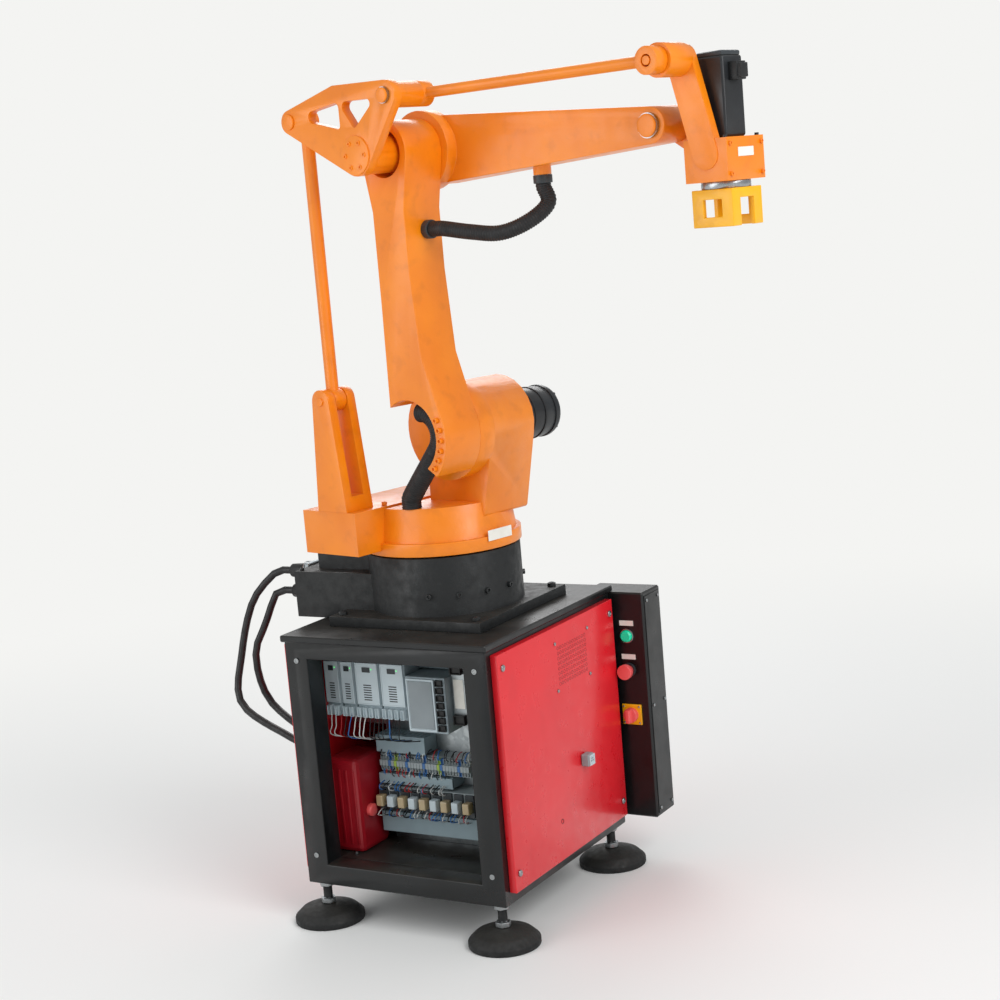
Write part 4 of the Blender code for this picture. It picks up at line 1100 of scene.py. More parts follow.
@dataclass
class ElectricalBay:
    """What fills the open bay: drives, controller, ducts, terminals, relays and their wires."""

    body: str = "pedestal"
    plate_face: float = -0.0803
    wide_drive: float = 0.05
    terminal_pitch: float = 0.0082
    relay_count: int = 9
    dice: random.Random = field(default_factory=lambda: random.Random(11))
    wire_rows: tuple[WireRow, ...] = (
        WireRow("terminal", 0.374, 0.398, -0.126, 26, -0.150, 0.105),
        WireRow("lower", 0.346, 0.322, -0.126, 20, -0.150, 0.040),
        WireRow("relay", 0.296, 0.316, -0.148, 18, -0.150, 0.040),
        WireRow("relay_foot", 0.248, 0.226, -0.148, 24, -0.152, 0.100),
        WireRow("drive", 0.497, 0.420, -0.206, 15, -0.236, -0.030))
    earth_starts: tuple[Pair, ...] = ((0.118, 0.486), (0.134, 0.470), (0.152, 0.452), (0.128, 0.262),
                                      (0.142, 0.286), (0.156, 0.304))
    plate_screw_spots: tuple[Pair, ...] = (
        (-0.250, 0.646), (0.192, 0.646), (0.192, 0.170), (0.060, 0.170), (-0.060, 0.170), (-0.150, 0.170),
        (0.192, 0.330), (0.192, 0.460), (0.130, 0.356), (0.130, 0.272))

    def build(self) -> None:
        """Make every piece in the bay."""
        self.drive_fronts()
        self.controller_front()
        self.duct_fingers()
        self.terminals()
        self.relays()
        self.filter_details()
        self.transformer_details()
        self.wiring()
        self.plate_screws()

    def drive_fronts(self) -> None:
        """Covers, displays, sockets and cooling slots of the four servo drives."""
        covers, windows, plugs, slots, leds = [], [], [], [], []
        for node in DRIVES:
            low, high = corners(node)
            front, middle, top = low.y, (low.x + high.x) / 2, high.z - 0.014
            cover = Blank.on_front(front, (low.x + 0.002, high.x - 0.002),
                                   (low.z + 0.034, high.z - 0.003), 0.006)
            covers.append(cover.recess(0.003, 0.0012, FRONT).soften(0.0014).thing)
            wide = high.x - low.x > self.wide_drive
            half = 0.011 if wide else 0.007
            span = (middle - half, middle + half)
            window = Blank.on_front(front, span, (top - 0.012, top), 0.0062, -0.0042)
            windows.append(window.recess(0.001, 0.0006, FRONT).thing)
            led = Blank.rod(0.0012, 0.0012, 10).soften(0.0003, 1)
            leds.append(led.seat(aim((middle + half + 0.004, front - 0.0048, top - 0.004), FRONT)).thing)
            for x in evenly(low.x, high.x, 4 if wide else 2):
                plug = Blank.on_front(front, (x - 0.0055, x + 0.0055), (low.z + 0.004, low.z + 0.028), 0.014)
                plugs.append(plug.recess(0.0014, 0.006, FRONT).soften(0.0006, 1).thing)
            for index in range(7):
                z = low.z + 0.045 + index * 0.006
                slot = Blank.on_front(front, span, (z, z + 0.0024), 0.0054, -0.0046)
                slots.append(slot.recess(0.0004, 0.0004, FRONT).thing)
        for name, things, finish in (
                ("drive_covers", covers, COVER_WHITE), ("drive_displays", windows, DARK_GREY),
                ("drive_leds", leds, SMALL_LED), ("drive_sockets", plugs, COVER_WHITE),
                ("drive_slots", slots, SOCKET_BLACK)):
            Blank.joined(things).finish(name, finish, self.body)

    def controller_front(self) -> None:
        """The motion controller's cover with its mottled plate and its column of sockets."""
        low, high = corners("motion_controller")
        cover = Blank.on_front(low.y, (low.x + 0.003, high.x - 0.028), (low.z + 0.004, high.z - 0.004), 0.005)
        cover.recess(0.004, 0.0022, FRONT).soften(0.0012).finish("controller_frame", COVER_WHITE, self.body)
        plate = Blank.on_front(low.y, (low.x + 0.009, high.x - 0.034), (low.z + 0.010, high.z - 0.010),
                               0.0046, -0.0026)
        plate.face(FRONT).inset(0.002, 0.0008).soften(0.0004, 1).finish(
            "controller_plate", MODULE_GREY, self.body)
        seats = [aim((high.x - 0.014, low.y, low.z + 0.014 + index * 0.0182), FRONT) for index in range(7)]
        Blank.slab(0.010, 0.0075, 0, 0.007).recess(0.0018, 0.0045).soften(0.0005, 1).copies(seats).finish(
            "controller_sockets", SOCKET_BLACK, self.body)

    def duct_fingers(self) -> None:
        """The comb of fingers along both edges of each wiring duct, with its snap-on lid."""
        fingers, lids = [], []
        for node in DUCTS:
            low, high = corners(node)
            lid = Blank.on_front(low.y, (low.x, high.x), (low.z - 0.0005, high.z + 0.0005), 0.002, 0.004)
            lids.append(lid.face(FRONT).inset(0.002, -0.0005).soften(0.0008).thing)
            for x in evenly(low.x, high.x, int((high.x - low.x) / 0.0125)):
                for bottom, top in ((low.z - 0.0012, low.z), (high.z, high.z + 0.0012)):
                    fingers.append(Blank.block((x - 0.0036, low.y + 0.006, bottom),
                                               (x + 0.0036, high.y - 0.004, top)).thing)
        Blank.joined(fingers).soften(0.0004, 1).finish("duct_fingers", DUCT_GREY, self.body)
        Blank.joined(lids).finish("duct_lids", DUCT_GREY, self.body)

    def terminals(self) -> None:
        """The row of rail terminals, each with its two screw wells."""
        low, high = corners("terminal_row")
        finishes = {"grey": TERMINAL_GREY, "blue": TERMINAL_BLUE, "earth": TERMINAL_GREEN}
        groups: dict[str, list[Matrix]] = {kind: [] for kind in finishes}
        for index in range(int((high.x - low.x - 0.02) / self.terminal_pitch)):
            kind = "earth" if index in (5, 20) else "blue" if index % 6 == 3 else "grey"
            x = low.x + 0.012 + index * self.terminal_pitch
            groups[kind].append(aim((x, low.y, (low.z + high.z) / 2), FRONT))
        for kind, seats in groups.items():
            block = Blank.slab(0.0036, 0.0205, -0.001, 0.009)
            block.bisect((0, 0.007, 0), BACK).bisect((0, -0.007, 0), BACK)
            block.pick(lambda centre, normal: normal.z > FACING and abs(centre.y) < 0.005)
            block.extrude((0, 0, 0.007))
            block.pick(lambda centre, normal: normal.z > FACING and abs(centre.y) > 0.008)
            block.inset(0.0012, apart=True).extrude((0, 0, -0.004))
            block.copies(seats).finish(f"terminals_{kind}", finishes[kind], self.body)

    def relays(self) -> None:
        """Plug-in relays on their sockets."""
        low, high = corners("relay_row")
        seats = [aim((x, low.y, (low.z + high.z) / 2), FRONT)
                 for x in evenly(low.x, high.x, self.relay_count)]
        socket = Blank.slab(0.0120, 0.028, -0.001, 0.006).face().inset(0.002, -0.0008).soften(0.0006, 1)
        socket.copies(seats).finish("relay_sockets", DARK_GREY, self.body, "grey_plastic")
        for tone, picked in ((RELAY_AMBER, seats[::2]), (COVER_WHITE, seats[1::2])):
            cover = Blank.slab(0.0092, 0.0135, 0.0052, 0.026).face().inset(0.0016, 0.0012).soften(0.0010)
            cover.copies(picked).finish(f"relay_covers_{tone.name}", tone, self.body)

    def filter_details(self) -> None:
        """The line filter's end blocks and its blank rating plate."""
        low, high = corners("line_filter")
        blocks = []
        for z in (low.z + 0.002, high.z - 0.026):
            block = Blank.on_front(low.y, (low.x + 0.003, high.x - 0.003), (z, z + 0.024), 0.012)
            blocks.append(block.recess(0.003, 0.005, FRONT).soften(0.0008, 1).thing)
        Blank.joined(blocks).finish("filter_terminal_blocks", SOCKET_BLACK, self.body)
        plate = Blank.on_front(low.y, (low.x + 0.005, high.x - 0.005), (low.z + 0.040, high.z - 0.040),
                               0.0006, 0.0002)
        plate.face(FRONT).inset(0.0006, 0.0001).finish("filter_plate", LABEL, self.body)

    def transformer_details(self) -> None:
        """The transformer's pressed ribs, the cap on its side and its foot screws."""
        low, high = corners("transformer")
        ribs = []
        for index in range(4):
            x = low.x + 0.017 + index * 0.020
            rib = Blank.on_front(low.y, (x, x + 0.008), (low.z + 0.022, high.z - 0.026), 0.0016, 0.002)
            ribs.append(rib.soften(0.0014).thing)
        Blank.joined(ribs).finish("transformer_ribs", CRIMSON_ENAMEL, self.body)
        seat = aim((high.x, (low.y + high.y) / 2 - 0.02, low.z + 0.10), RIGHT)
        Blank.rod(0.016, 0.012, 28).face().inset(0.004, 0.002).soften(0.0014).seat(seat).finish(
            "transformer_cap", RED_GLOSS, self.body)
        seats = [aim((x, low.y - 0.008, low.z + 0.0004), UP) for x in (low.x + 0.018, high.x - 0.018)]
        M5.fix("transformer_screws", seats, SCREW_STEEL, self.body)

    def _wire(self, name: str, points: Sequence[Sequence[float]], radius: float = 0.0013) -> bpy.types.Object:
        """One wire through the bay, in the pedestal's own directions."""
        return line(name, smooth_path([PEDESTAL.point(*p) for p in points], 0.006), radius, 2)

    def wiring(self) -> None:
        """Wires that run from the devices into the ducts, and the earth leads beside them."""
        bundles: dict[str, list[bpy.types.Object]] = {colour: [] for colour in WIRE_COLOURS}
        dice = self.dice
        for row in self.wire_rows:
            start, stop, face = row.start, row.stop, row.face
            for index in range(row.count):
                x = row.left + (row.right - row.left) * (index + 0.3 + 0.4 * dice.random()) / row.count
                sway = dice.uniform(-0.006, 0.006)
                bow = dice.uniform(0.008, 0.020)
                end_x = max(x + sway, -0.145)
                points = [(x, face + 0.004, start), (x, face - 0.004, start),
                          (x + sway * 0.4, face - bow, (start * 2 + stop) / 3),
                          (x + sway * 0.8, face - bow * 0.8, (start + stop * 2) / 3),
                          (end_x, -0.128, stop), (end_x, -0.118, stop)]
                colour = dice.choice(("blue", "black", "white", "black", "red", "blue", "white"))
                bundles[colour].append(self._wire(f"{row.name}_{index}", points))
        for index, (x, z) in enumerate(self.earth_starts):
            points = [(x, -0.100, z), (x, -0.135, z), (x + 0.004, -0.152, z - 0.012),
                      (x + 0.010, -0.156, z - 0.045), (x + 0.012, -0.140, z - 0.080),
                      (x + 0.010, -0.110, z - 0.085), (x + 0.010, -0.0812, z - 0.085)]
            bundles["earth"].append(self._wire(f"earth_{index}", points, 0.0017))
        for colour, things in bundles.items():
            deselect_all()
            for thing in things:
                thing.select_set(True)
            bpy.context.view_layer.objects.active = things[0]
            bpy.ops.object.convert(target="MESH")
            Blank.joined(list(bpy.context.selected_objects)).finish(
                f"bay_wires_{colour}", WIRE_COLOURS[colour], self.body)

    def plate_screws(self) -> None:
        """Screws that hold the mounting plate and its devices."""
        seats = [PEDESTAL.spot((x, self.plate_face + 0.0003, z), FRONT) for x, z in self.plate_screw_spots]
        M5.fix("mounting_plate_screws", seats, SCREW_STEEL, self.body)


@dataclass
class ControlBox:
    """The operator's side: lamp, stop button, main switch and the power inlet."""

    body: str = "pedestal"
    button_x: float = 0.318
    front: float = 0.3103
    lamp_z: float = 0.59
    stop_z: float = 0.503
    switch_z: float = 0.388
    legend_zs: Pair = (0.622, 0.536)
    switch_half: float = 0.026

    def build(self) -> None:
        """Make every piece of the control box."""
        self.bezels()
        self.switch()
        self.box_cover()
        self.inlet()

    def _seat(self, height: float) -> Matrix:
        """A seat on the box's front, on the line of its buttons."""
        return PEDESTAL.spot((self.button_x, self.front, height), FRONT)

    def bezels(self) -> None:
        """Rings behind the lamp and the stop button, with a blank legend plate over each."""
        for name, height, inner, outer, finish in (("lamp_bezel", self.lamp_z, 0.0152, 0.0185, BRIGHT_STEEL),
                                                   ("stop_collar", self.stop_z, 0.0122, 0.0175, DARK_GREY)):
            ring = Blank.ring(inner, outer, 0.0045).soften(0.001).seat(self._seat(height))
            ring.finish(name, finish, self.body)
        plate = Blank.slab(0.019, 0.0065, -0.0002, 0.0012).face().inset(0.0012, -0.0003).soften(0.0004, 1)
        plate.copies([self._seat(height) for height in self.legend_zs]).finish(
            "legend_plates", LABEL, self.body)

    def switch(self) -> None:
        """The main switch: a yellow plate with screws and a red turning handle."""
        half = self.switch_half
        seat = self._seat(self.switch_z)
        plate = Blank.slab(half, half, 0.0002, 0.005).face().inset(0.003, 0.0006).soften(0.0012)
        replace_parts(plate.seat(seat).finish("switch_plate", YELLOW_PAINT, self.body), "rotary_switch")
        knob = Blank.rod(half * 0.72, 0.013, 36, 0.0052).face().inset(0.002, 0.0008).soften(0.0012)
        handle = Blank.slab(0.007, half * 0.7, 0.016, 0.034).face().resize((0.7, 0.9, 1.0)).soften(0.002, 3)
        Blank.joined([knob.thing, handle.thing]).seat(seat).finish("switch_handle", RED_GLOSS, self.body)
        seats = [seat @ Matrix.Translation((x, y, 0.0054)) for x, y in four(half * 0.8, half * 0.8)]
        M3.fix("switch_screws", seats, SCREW_STEEL, self.body)

    def box_cover(self) -> None:
        """The box's screwed side cover and the cover's screws."""
        low, high = corners("control_box")
        outside = high.x + 0.0018
        cover = Blank.block((high.x - 0.0002, low.y + 0.008, low.z + 0.010),
                            (outside, high.y - 0.008, high.z - 0.010))
        cover.face(RIGHT).inset(0.003).soften(0.0008).finish("control_box_cover", BLACK_ENAMEL, self.body)
        seats = [aim((outside, y, z), RIGHT) for y in (low.y + 0.018, high.y - 0.018)
                 for z in (low.z + 0.022, (low.z + high.z) / 2, high.z - 0.022)]
        M4.fix("control_box_screws", seats, SCREW_STEEL, self.body)

    def inlet(self) -> None:
        """The power inlet's socket with its three pins, where the mains lead plugs in."""
        low, high = corners("power_inlet")
        middle = (low + high) / 2
        rim = Blank.block((high.x - 0.0002, low.y + 0.002, low.z + 0.002),
                          (high.x + 0.0026, high.y - 0.002, high.z - 0.002))
        rim.recess(0.004, 0.0018, RIGHT).soften(0.0008).finish("inlet_rim", COVER_WHITE, self.body)
        seats = [aim((high.x + 0.0006, middle.y + dy, middle.z + dz), RIGHT)
                 for dy, dz in ((-0.005, -0.002), (0.005, -0.002), (0, 0.004))]
        Blank.slab(0.0011, 0.003, 0, 0.0022).soften(0.0004, 1).copies(seats).finish(
            "inlet_pins", BRIGHT_STEEL, self.body)


@dataclass
class Base:
    """The fixed base: its rear connectors and the two motor cables."""

    body: str = "pedestal"
    plate_x: float = -0.3746
    plug_y: float = -0.03
    plug_zs: Pair = (0.81, 0.758)
    port_y: float = 0.022
    port_zs: Pair = (0.806, 0.766)
    gland_x: float = -0.2936
    gland_z: float = 0.40
    gland_ys: Pair = (-0.16, -0.10)
    cable_radius: float = 0.0095
    cable_start: float = -0.4369
    cable_end: float = -0.3159
    drum_radius: float = 0.1848
    drum_plug_z: float = 0.79
    drum_plug_angles: tuple[int, ...] = (-72, -50, -28, -6, 40, 70)

    def build(self) -> None:
        """Make every piece of the base."""
        self.cables()
        self.connectors()
        self.casting_details()

    def _route(self, index: int) -> list[Vector]:
        """The CAD route of one motor cable.

        Args:
            index: 0 for the upper plug's cable, 1 for the lower one's.

        Returns:
            The route's smoothed points in the row frame.
        """
        start, end = self.cable_start, self.cable_end
        plug_z, gland_y = self.plug_zs[index], self.gland_ys[index]
        bow = 0.10 + 0.045 * (1 - index)
        y, z = self.plug_y, self.gland_z
        route = [
            (start, y, plug_z), (start - 0.03, y, plug_z), (start - 0.058, y - 0.004, plug_z - 0.010),
            (start - bow * 0.8, y - 0.03, plug_z - 0.08), (start - bow, y - 0.06, 0.60),
            (start - bow * 0.9, gland_y + 0.03, 0.48), (end - 0.085, gland_y, z + 0.012),
            (end - 0.06, gland_y, z), (end - 0.03, gland_y, z), (end, gland_y, z),
        ]
        return [PEDESTAL.point(*point) for point in smooth_path(route, self.cable_radius * 3)]

    def cables(self) -> None:
        """The two motor cables from the base's plugs down to the cabinet's glands."""
        for index in (0, 1):
            number = index + 1
            path = self._route(index)
            cable = line(f"motor_cable_{number}_sheath", path, self.cable_radius)
            cable.data.materials.append(CABLE_RUBBER.material())
            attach(cable, self.body)
            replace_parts(cable, f"motor_cable_{number}")
            LOG.info("motor cable %d is %.3f m long", number, path_length(path))

    def connectors(self) -> None:
        """Knurled rings on the plugs, sockets and screws on the plate, and nuts on the glands."""
        rings, nuts = [], []
        for plug_z, gland_y in zip(self.plug_zs, self.gland_ys):
            ring = Blank.ring(0.0205, 0.0245, 0.014, 36)
            ring.pick(lambda centre, normal: abs(normal.z) < 0.3 and centre.xy.length > 0.022)
            seat = PEDESTAL.spot((self.plate_x, self.plug_y, plug_z), LEFT)
            seat = seat @ Matrix.Translation((0, 0, 0.003))
            rings.append(ring.inset(0.0006, -0.0006, True).seat(seat).thing)
            nut = Blank.ring(0.0162, 0.0200, 0.009, 6).soften(0.0008, 1)
            nuts.append(nut.seat(PEDESTAL.spot((self.gland_x, gland_y, self.gland_z), LEFT)).thing)
        Blank.joined(rings).finish("plug_rings", SCREW_STEEL, self.body)
        Blank.joined(nuts).finish("gland_nuts", DARK_GREY, self.body, "grey_plastic")
        low, high = corners("connector_plate")
        seats = [aim((low.x, y, z), LEFT) for y in (low.y + 0.009, high.y - 0.009)
                 for z in (low.z + 0.009, high.z - 0.009)]
        M5.fix("connector_plate_screws", seats, BLACK_SCREW, self.body)
        port = PEDESTAL.point(0, self.port_y, 0).y
        Blank.ring(0.006, 0.0125, 0.012, 24).soften(0.0012).copies(
            [aim((low.x, port, z), LEFT) for z in self.port_zs]).finish("air_ports", BRIGHT_STEEL, self.body)

    def casting_details(self) -> None:
        """Blanking plugs round the base's drum and the rear cover's screws."""
        seats = []
        for turn in map(math.radians, self.drum_plug_angles):
            way = Vector((math.cos(turn), math.sin(turn), 0))
            place = PEDESTAL.point(way.x * self.drum_radius, way.y * self.drum_radius, self.drum_plug_z)
            seats.append(aim(place, way))
        M8.fix("base_plugs", seats, BLACK_SCREW, self.body)
        seats = [PEDESTAL.spot((-0.345, y, 0.8303), UP) for y in (-0.115, 0.115)]
        seats += [PEDESTAL.spot((x, y, 0.8683), UP) for x in (-0.300, -0.205) for y in (-0.072, 0.072)]
        M6.fix("rear_cover_screws", seats, BLACK_SCREW, self.body)


@dataclass
class Turret:
    """The turning casting: its label, shoulder screws, motor and the shoulder hose."""

    body: str = "turret"
    shoulder: Pair = (0.11, 1.17)
    deck: float = 1.0003
    motor_end: float = 0.2705
    hose_radius: float = 0.0235
    hose_pitch: float = 0.0062
    hose_lane: float = -0.1425
    hose_reach: float = 0.054
    hose_foot: float = 0.9953

    def build(self) -> None:
        """Make every piece of the turret."""
        self.label()
        self.screws()
        self.motor()
        self.hose()

    def label(self) -> None:
        """The blank rating label on the casting's foot, to the right of the arm."""
        plate = Blank.slab(0.040, 0.0125, 0.0, 0.0012).face().inset(0.002, -0.0003).soften(0.0003, 1)
        plate.seat(ARM.seat((0.1895, 0.0, 0.918), RIGHT, math.pi / 2)).finish(
            "turret_label", LABEL, self.body, "orange_paint")

    def screws(self) -> None:
        """Rear block cover screws, bracket foot screws and the drum's screws."""
        a, z = self.shoulder
        seats = [ARM.spot((along, side, self.deck), UP)
                 for side in (0.105, -0.15) for along in (-0.185, -0.035)]
        M8.fix("deck_screws", seats, ORANGE, self.body)
        seats = circle_seats(ARM.point(a, 0.1202, z), ARM.direction(*BACK), 0.094, 12)
        M6.fix("drum_screws", seats, ORANGE, self.body)
        seats = [ARM.spot((-0.2002, side, height), LEFT) for side in (-0.23, 0.09) for height in (0.92, 0.98)]
        M6.fix("rear_block_screws", seats, ORANGE, self.body)

    def motor(self) -> None:
        """The shoulder motor's cooling ribs, end cap and screws."""
        a, z = self.shoulder
        ribs = [Blank.ring(0.0610, 0.0640, depth, 48).seat(ARM.spot((a, place, z), BACK)).thing
                for place, depth in ((0.138, 0.010), (0.176, 0.006), (0.214, 0.006), (0.252, 0.010))]
        Blank.joined(ribs).soften(0.0008, 1).finish("j2_motor_ribs", MOTOR_BLACK, self.body)
        cap = Blank.rod(0.050, 0.006, 40).face().inset(0.006, 0.002).inset(0.028).extrude((0, 0, -0.002))
        cap.soften(0.0012).seat(ARM.spot((a, self.motor_end, z), BACK)).finish(
            "j2_motor_cap", DARK_GREY, self.body, "motor_black")
        seats = circle_seats(ARM.point(a, self.motor_end + 0.0001, z), ARM.direction(*BACK), 0.055, 4, 45)
        M5.fix("j2_motor_screws", seats, BLACK_SCREW, self.body, "motor_black")

    def hose(self) -> None:
        """The shoulder hose, which rises from the deck and bends round in the lower arm's notch."""
        a, z = self.shoulder
        lane, reach = self.hose_lane, self.hose_reach
        route = [(a - 0.06, lane, self.hose_foot), (a - 0.06, lane, self.hose_foot + 0.022)]
        for angle in (-50, -25, 0, 25, 50, 75, 100):
            turn = math.radians(angle)
            route.append((a + reach * math.cos(turn), lane, z + reach * math.sin(turn)))
        points = [ARM.point(*point) for point in route]
        hose = corrugated("shoulder_hose_cover", points, self.hose_radius, self.hose_pitch)
        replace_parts(hose, "shoulder_hose")
        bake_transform(hose)


@dataclass
class Arms:
    """The lower arm, the forearm and the levelling linkage between them."""

    shoulder: Pair = (0.11, 1.17)
    elbow_z: float = 1.81
    lower_near: float = -0.1903
    hub_near: float = -0.2724
    forearm_half: float = 0.0453
    caps: tuple[tuple[str, float, Triple], ...] = (
        ("elbow_link", 0.0175, (-0.10, -0.2722, 1.90)), ("elbow_pin", 0.0165, (0.215, -0.2782, 1.93)),
        ("wrist_pin", 0.0240, (0.75, -0.0532, 1.81)))
    motor_end: float = 0.1653
    motor_half: float = 0.043
    hose_radius: float = 0.0175
    hose_pitch: float = 0.0058
    hose_route: tuple[Triple, ...] = (
        (0.0503, -0.122, -0.175), (0.095, -0.122, -0.175), (0.17, -0.105, -0.188), (0.235, -0.08, -0.195),
        (0.285, -0.04, -0.175), (0.31, 0, -0.14), (0.30, 0, -0.1023), (0.30, 0, -0.0783))

    def build(self) -> None:
        """Make every piece of the arms."""
        self.ring_screws()
        self.link_caps()
        self.motor()
        self.hose()

    def ring_screws(self) -> None:
        """The screws of the shoulder's gearbox, in front of the open notch, of the elbow and of the hub."""
        a, z = self.shoulder
        near, far = ARM.direction(*FRONT), ARM.direction(*BACK)
        seats = circle_seats(ARM.point(a, self.lower_near, z), near, 0.103, 6, 138, 66)
        M8.fix("shoulder_ring_screws", seats, ORANGE, "lower_arm")
        seats = circle_seats(ARM.point(a, self.forearm_half, self.elbow_z), far, 0.064, 10)
        M6.fix("elbow_ring_screws", seats, ORANGE, "forearm")
        seats = circle_seats(ARM.point(a, self.hub_near, self.elbow_z), near, 0.030, 6)
        M6.fix("hub_screws", seats, ORANGE, "elbow_link")

    def link_caps(self) -> None:
        """Dust caps on the near ends of the linkage's eye and of its two pins."""
        for body, radius, place in self.caps:
            cap = Blank.rod(radius, 0.0035, 28).face().inset(radius * 0.22, 0.0012).soften(0.0008)
            cap.seat(ARM.spot(place, FRONT)).finish(f"{body}_cap", ORANGE, body)

    def motor(self) -> None:
        """End cap, screws and plug of the elbow motor, on the arm's far side."""
        a, half = self.shoulder[0], self.motor_half
        seat = ARM.seat((a, self.motor_end, self.elbow_z), BACK)
        cap = Blank.slab(half - 0.004, half - 0.004, -0.0002, 0.007).face().inset(0.007, 0.002).soften(0.002)
        cap.seat(seat).finish("j3_motor_cap", DARK_GREY, "forearm", "motor_black")
        seats = [seat @ Matrix.Translation((x, y, 0.0068)) for x, y in four(half * 0.78, half * 0.78)]
        M5.fix("j3_motor_screws", seats, BLACK_SCREW, "forearm", "motor_black")
        plug = Blank.block((-0.016, -0.030, 0.0), (0.016, 0.006, 0.020)).face().inset(0.004, -0.006)
        seat = ARM.seat((a, self.motor_end - 0.032, self.elbow_z + half - 0.001), UP)
        plug.soften(0.0016).seat(seat).finish("j3_motor_plug", SOCKET_BLACK, "forearm", "motor_black")

    def hose(self) -> None:
        """The elbow hose, a loop from the lower arm's front to the socket under the forearm."""
        a, z = self.shoulder[0], self.elbow_z
        points = [ARM.point(a + x, y, z + dz) for x, y, dz in self.hose_route]
        hose = corrugated("elbow_hose_cover", points, self.hose_radius, self.hose_pitch)
        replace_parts(hose, "elbow_hose")
        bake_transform(hose)
        for name, at, way, body in (("elbow_hose_cuff_low", points[0], ARM.direction(*RIGHT), "lower_arm"),
                                    ("elbow_hose_cuff_high", points[-1], DOWN, "forearm")):
            cuff = Blank.ring(0.0160, 0.0212, 0.018, 28).soften(0.0014)
            cuff.seat(aim(at, way)).finish(name, DARK_GREY, body)


@dataclass
class Wrist:
    """The wrist head, its motor and the tool bracket."""

    head_a: float = 0.905
    head_n: float = -0.008
    head_top: float = 1.77
    head_half: Pair = (0.0525, 0.0625)
    motor_half: float = 0.034
    flange_face: float = 1.6604

    def build(self) -> None:
        """Make every piece of the wrist."""
        self.motor()
        self.head()
        self.flange()

    def motor(self) -> None:
        """The wrist motor's rear cover and plug."""
        half = self.motor_half
        top = corners("j4_motor")[1].z - 0.0002
        place = ARM.point(self.head_a, self.head_n, top)
        seat = Matrix.Translation(place) @ Matrix.Rotation(ARM.turn, 4, "Z")
        cap = Blank.slab(half - 0.003, half - 0.003, 0.0, 0.008).face().inset(0.006, 0.002).soften(0.002)
        cap.seat(seat).finish("j4_motor_cap", DARK_GREY, "wrist", "motor_black")
        plug = Blank.block((half - 0.001, -0.016, -0.050), (half + 0.020, 0.016, -0.014))
        plug.face(RIGHT).inset(0.004).extrude((0.008, 0, 0)).soften(0.0016).seat(seat).finish(
            "j4_motor_plug", SOCKET_BLACK, "wrist", "motor_black")

    def head(self) -> None:
        """The motor's foot screws on the head, the cover screws on its front and its blank label."""
        along, across = self.head_half
        seats = [ARM.spot((self.head_a + x, self.head_n + y, self.head_top), UP)
                 for x, y in four(along - 0.009, across - 0.009)]
        M5.fix("wrist_top_screws", seats, BLACK_SCREW, "wrist", "motor_black")
        face = self.head_a + along
        seats = [ARM.spot((face, self.head_n + side * (across - 0.010), self.head_top - drop), RIGHT)
                 for side in (-1, 1) for drop in (0.012, 0.072)]
        M5.fix("wrist_front_screws", seats, ORANGE, "wrist")
        plate = Blank.slab(0.026, 0.009, 0.0, 0.0012).face().inset(0.0016, -0.0003).soften(0.0003, 1)
        plate.seat(ARM.seat((face, self.head_n, self.head_top - 0.030), RIGHT, math.pi / 2)).finish(
            "wrist_label", LABEL, "wrist", "orange_paint")

    def flange(self) -> None:
        """Screws that hold the tool bracket to the turning flange."""
        seats = circle_seats(ARM.point(self.head_a, self.head_n, self.flange_face), Vector(DOWN), 0.028, 6)
        M6.fix("tool_flange_screws", seats, BLACK_SCREW, "tool", "bright_steel")


# Studio


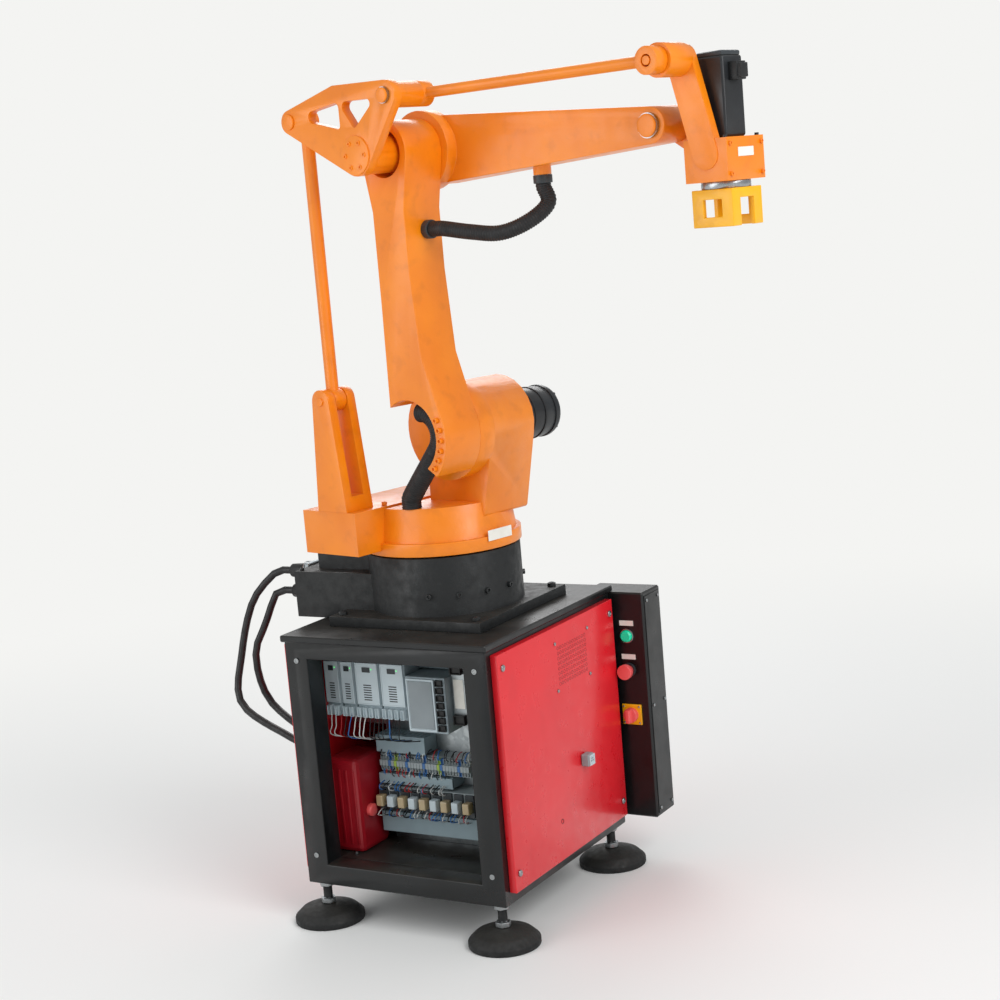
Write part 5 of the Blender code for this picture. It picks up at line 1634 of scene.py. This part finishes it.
@dataclass
class Studio:
    """A pale floor, soft lamps and the camera at the photograph's angle."""

    camera_at: Triple = (2.1524, -3.8895, 1.705)
    look: Triple = (-0.5261, 0.8334, -0.1695)
    upright: Triple = (-0.0138, 0.1909, 0.9815)
    lens: float = 69.2
    shift: Pair = (0.0595, 0.0284)
    lamp_table: tuple[tuple[str, Triple, float, float], ...] = (
        ("key_lamp", (3.6, -1.6, 3.6), 2.8, 120.0), ("fill_lamp", (-2.8, -3.6, 2.2), 3.0, 60.0),
        ("rim_lamp", (-2.2, 3.4, 3.4), 2.6, 70.0))

    def build(self) -> None:
        """Make the floor, the lamps, the world and the camera."""
        self.floor()
        self.lamps()
        self.world()
        self.camera()

    def floor(self) -> None:
        """A pale floor that keeps the robot's shadow."""
        deselect_all()
        bpy.ops.mesh.primitive_plane_add(size=60.0, location=(0, 0, -0.0005))
        floor = bpy.context.active_object
        floor.name = "studio_floor"
        floor.data.materials.append(STUDIO_PAPER.material())

    def lamps(self) -> None:
        """A key lamp over the right, a weak fill from the left and a rim lamp behind."""
        for name, at, size, power in self.lamp_table:
            light = bpy.data.lights.new(name, "AREA")
            light.energy = power
            light.size = size
            lamp = bpy.data.objects.new(name, light)
            bpy.context.scene.collection.objects.link(lamp)
            lamp.matrix_world = aim(at, Vector(at) - Vector((-0.1, 0.0, 1.0)))

    def world(self) -> None:
        """Soft light from all sides, which the camera sees as a pale backdrop."""
        world = bpy.context.scene.world or bpy.data.worlds.new("studio_world")
        bpy.context.scene.world = world
        world.use_nodes = True
        tree = world.node_tree
        tree.nodes.clear()
        rays = add_node(tree, "ShaderNodeLightPath").outputs
        seen = add_node(tree, "ShaderNodeMath", {"operation": "MAXIMUM"},
                        {0: rays["Is Camera Ray"], 1: rays["Is Transmission Ray"]}).outputs["Value"]
        soft = add_node(tree, "ShaderNodeBackground", {"Color": tint("EEF1F4"), "Strength": 0.58})
        pale = add_node(tree, "ShaderNodeBackground", {"Color": tint("F4F4F2"), "Strength": 1.0})
        mixed = add_node(tree, "ShaderNodeMixShader",
                         links={0: seen, 1: soft.outputs["Background"], 2: pale.outputs["Background"]})
        add_node(tree, "ShaderNodeOutputWorld", links={"Surface": mixed.outputs["Shader"]})

    def camera(self) -> None:
        """The camera where the photographer stood, with a longer lens and aimed at the robot."""
        data = bpy.data.cameras.new("studio_camera")
        data.lens = self.lens
        data.sensor_width = 36.0
        data.sensor_fit = "HORIZONTAL"
        data.shift_x, data.shift_y = self.shift
        camera = bpy.data.objects.new("studio_camera", data)
        bpy.context.scene.collection.objects.link(camera)
        backward = -Vector(self.look).normalized()
        right = Vector(self.upright).cross(backward).normalized()
        up = backward.cross(right)
        axes = Matrix((right, up, backward)).transposed().to_4x4()
        camera.matrix_world = Matrix.Translation(self.camera_at) @ axes
        bpy.context.scene.camera = camera


def main() -> None:
    """Load the CAD, dress it, set the studio and note the sizes."""
    logging.basicConfig(level=logging.INFO, format="%(message)s")
    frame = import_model()
    bpy.context.scene.view_settings.view_transform = "Standard"
    Studio().build()
    Base().build()
    dress_nodes(frame["nodes"])
    for part in (Cabinet(), ElectricalBay(), ControlBox(), Turret(), Arms(), Wrist()):
        part.build()
        LOG.info("%s is dressed", type(part).__name__)


if __name__ == "__main__":
    main()
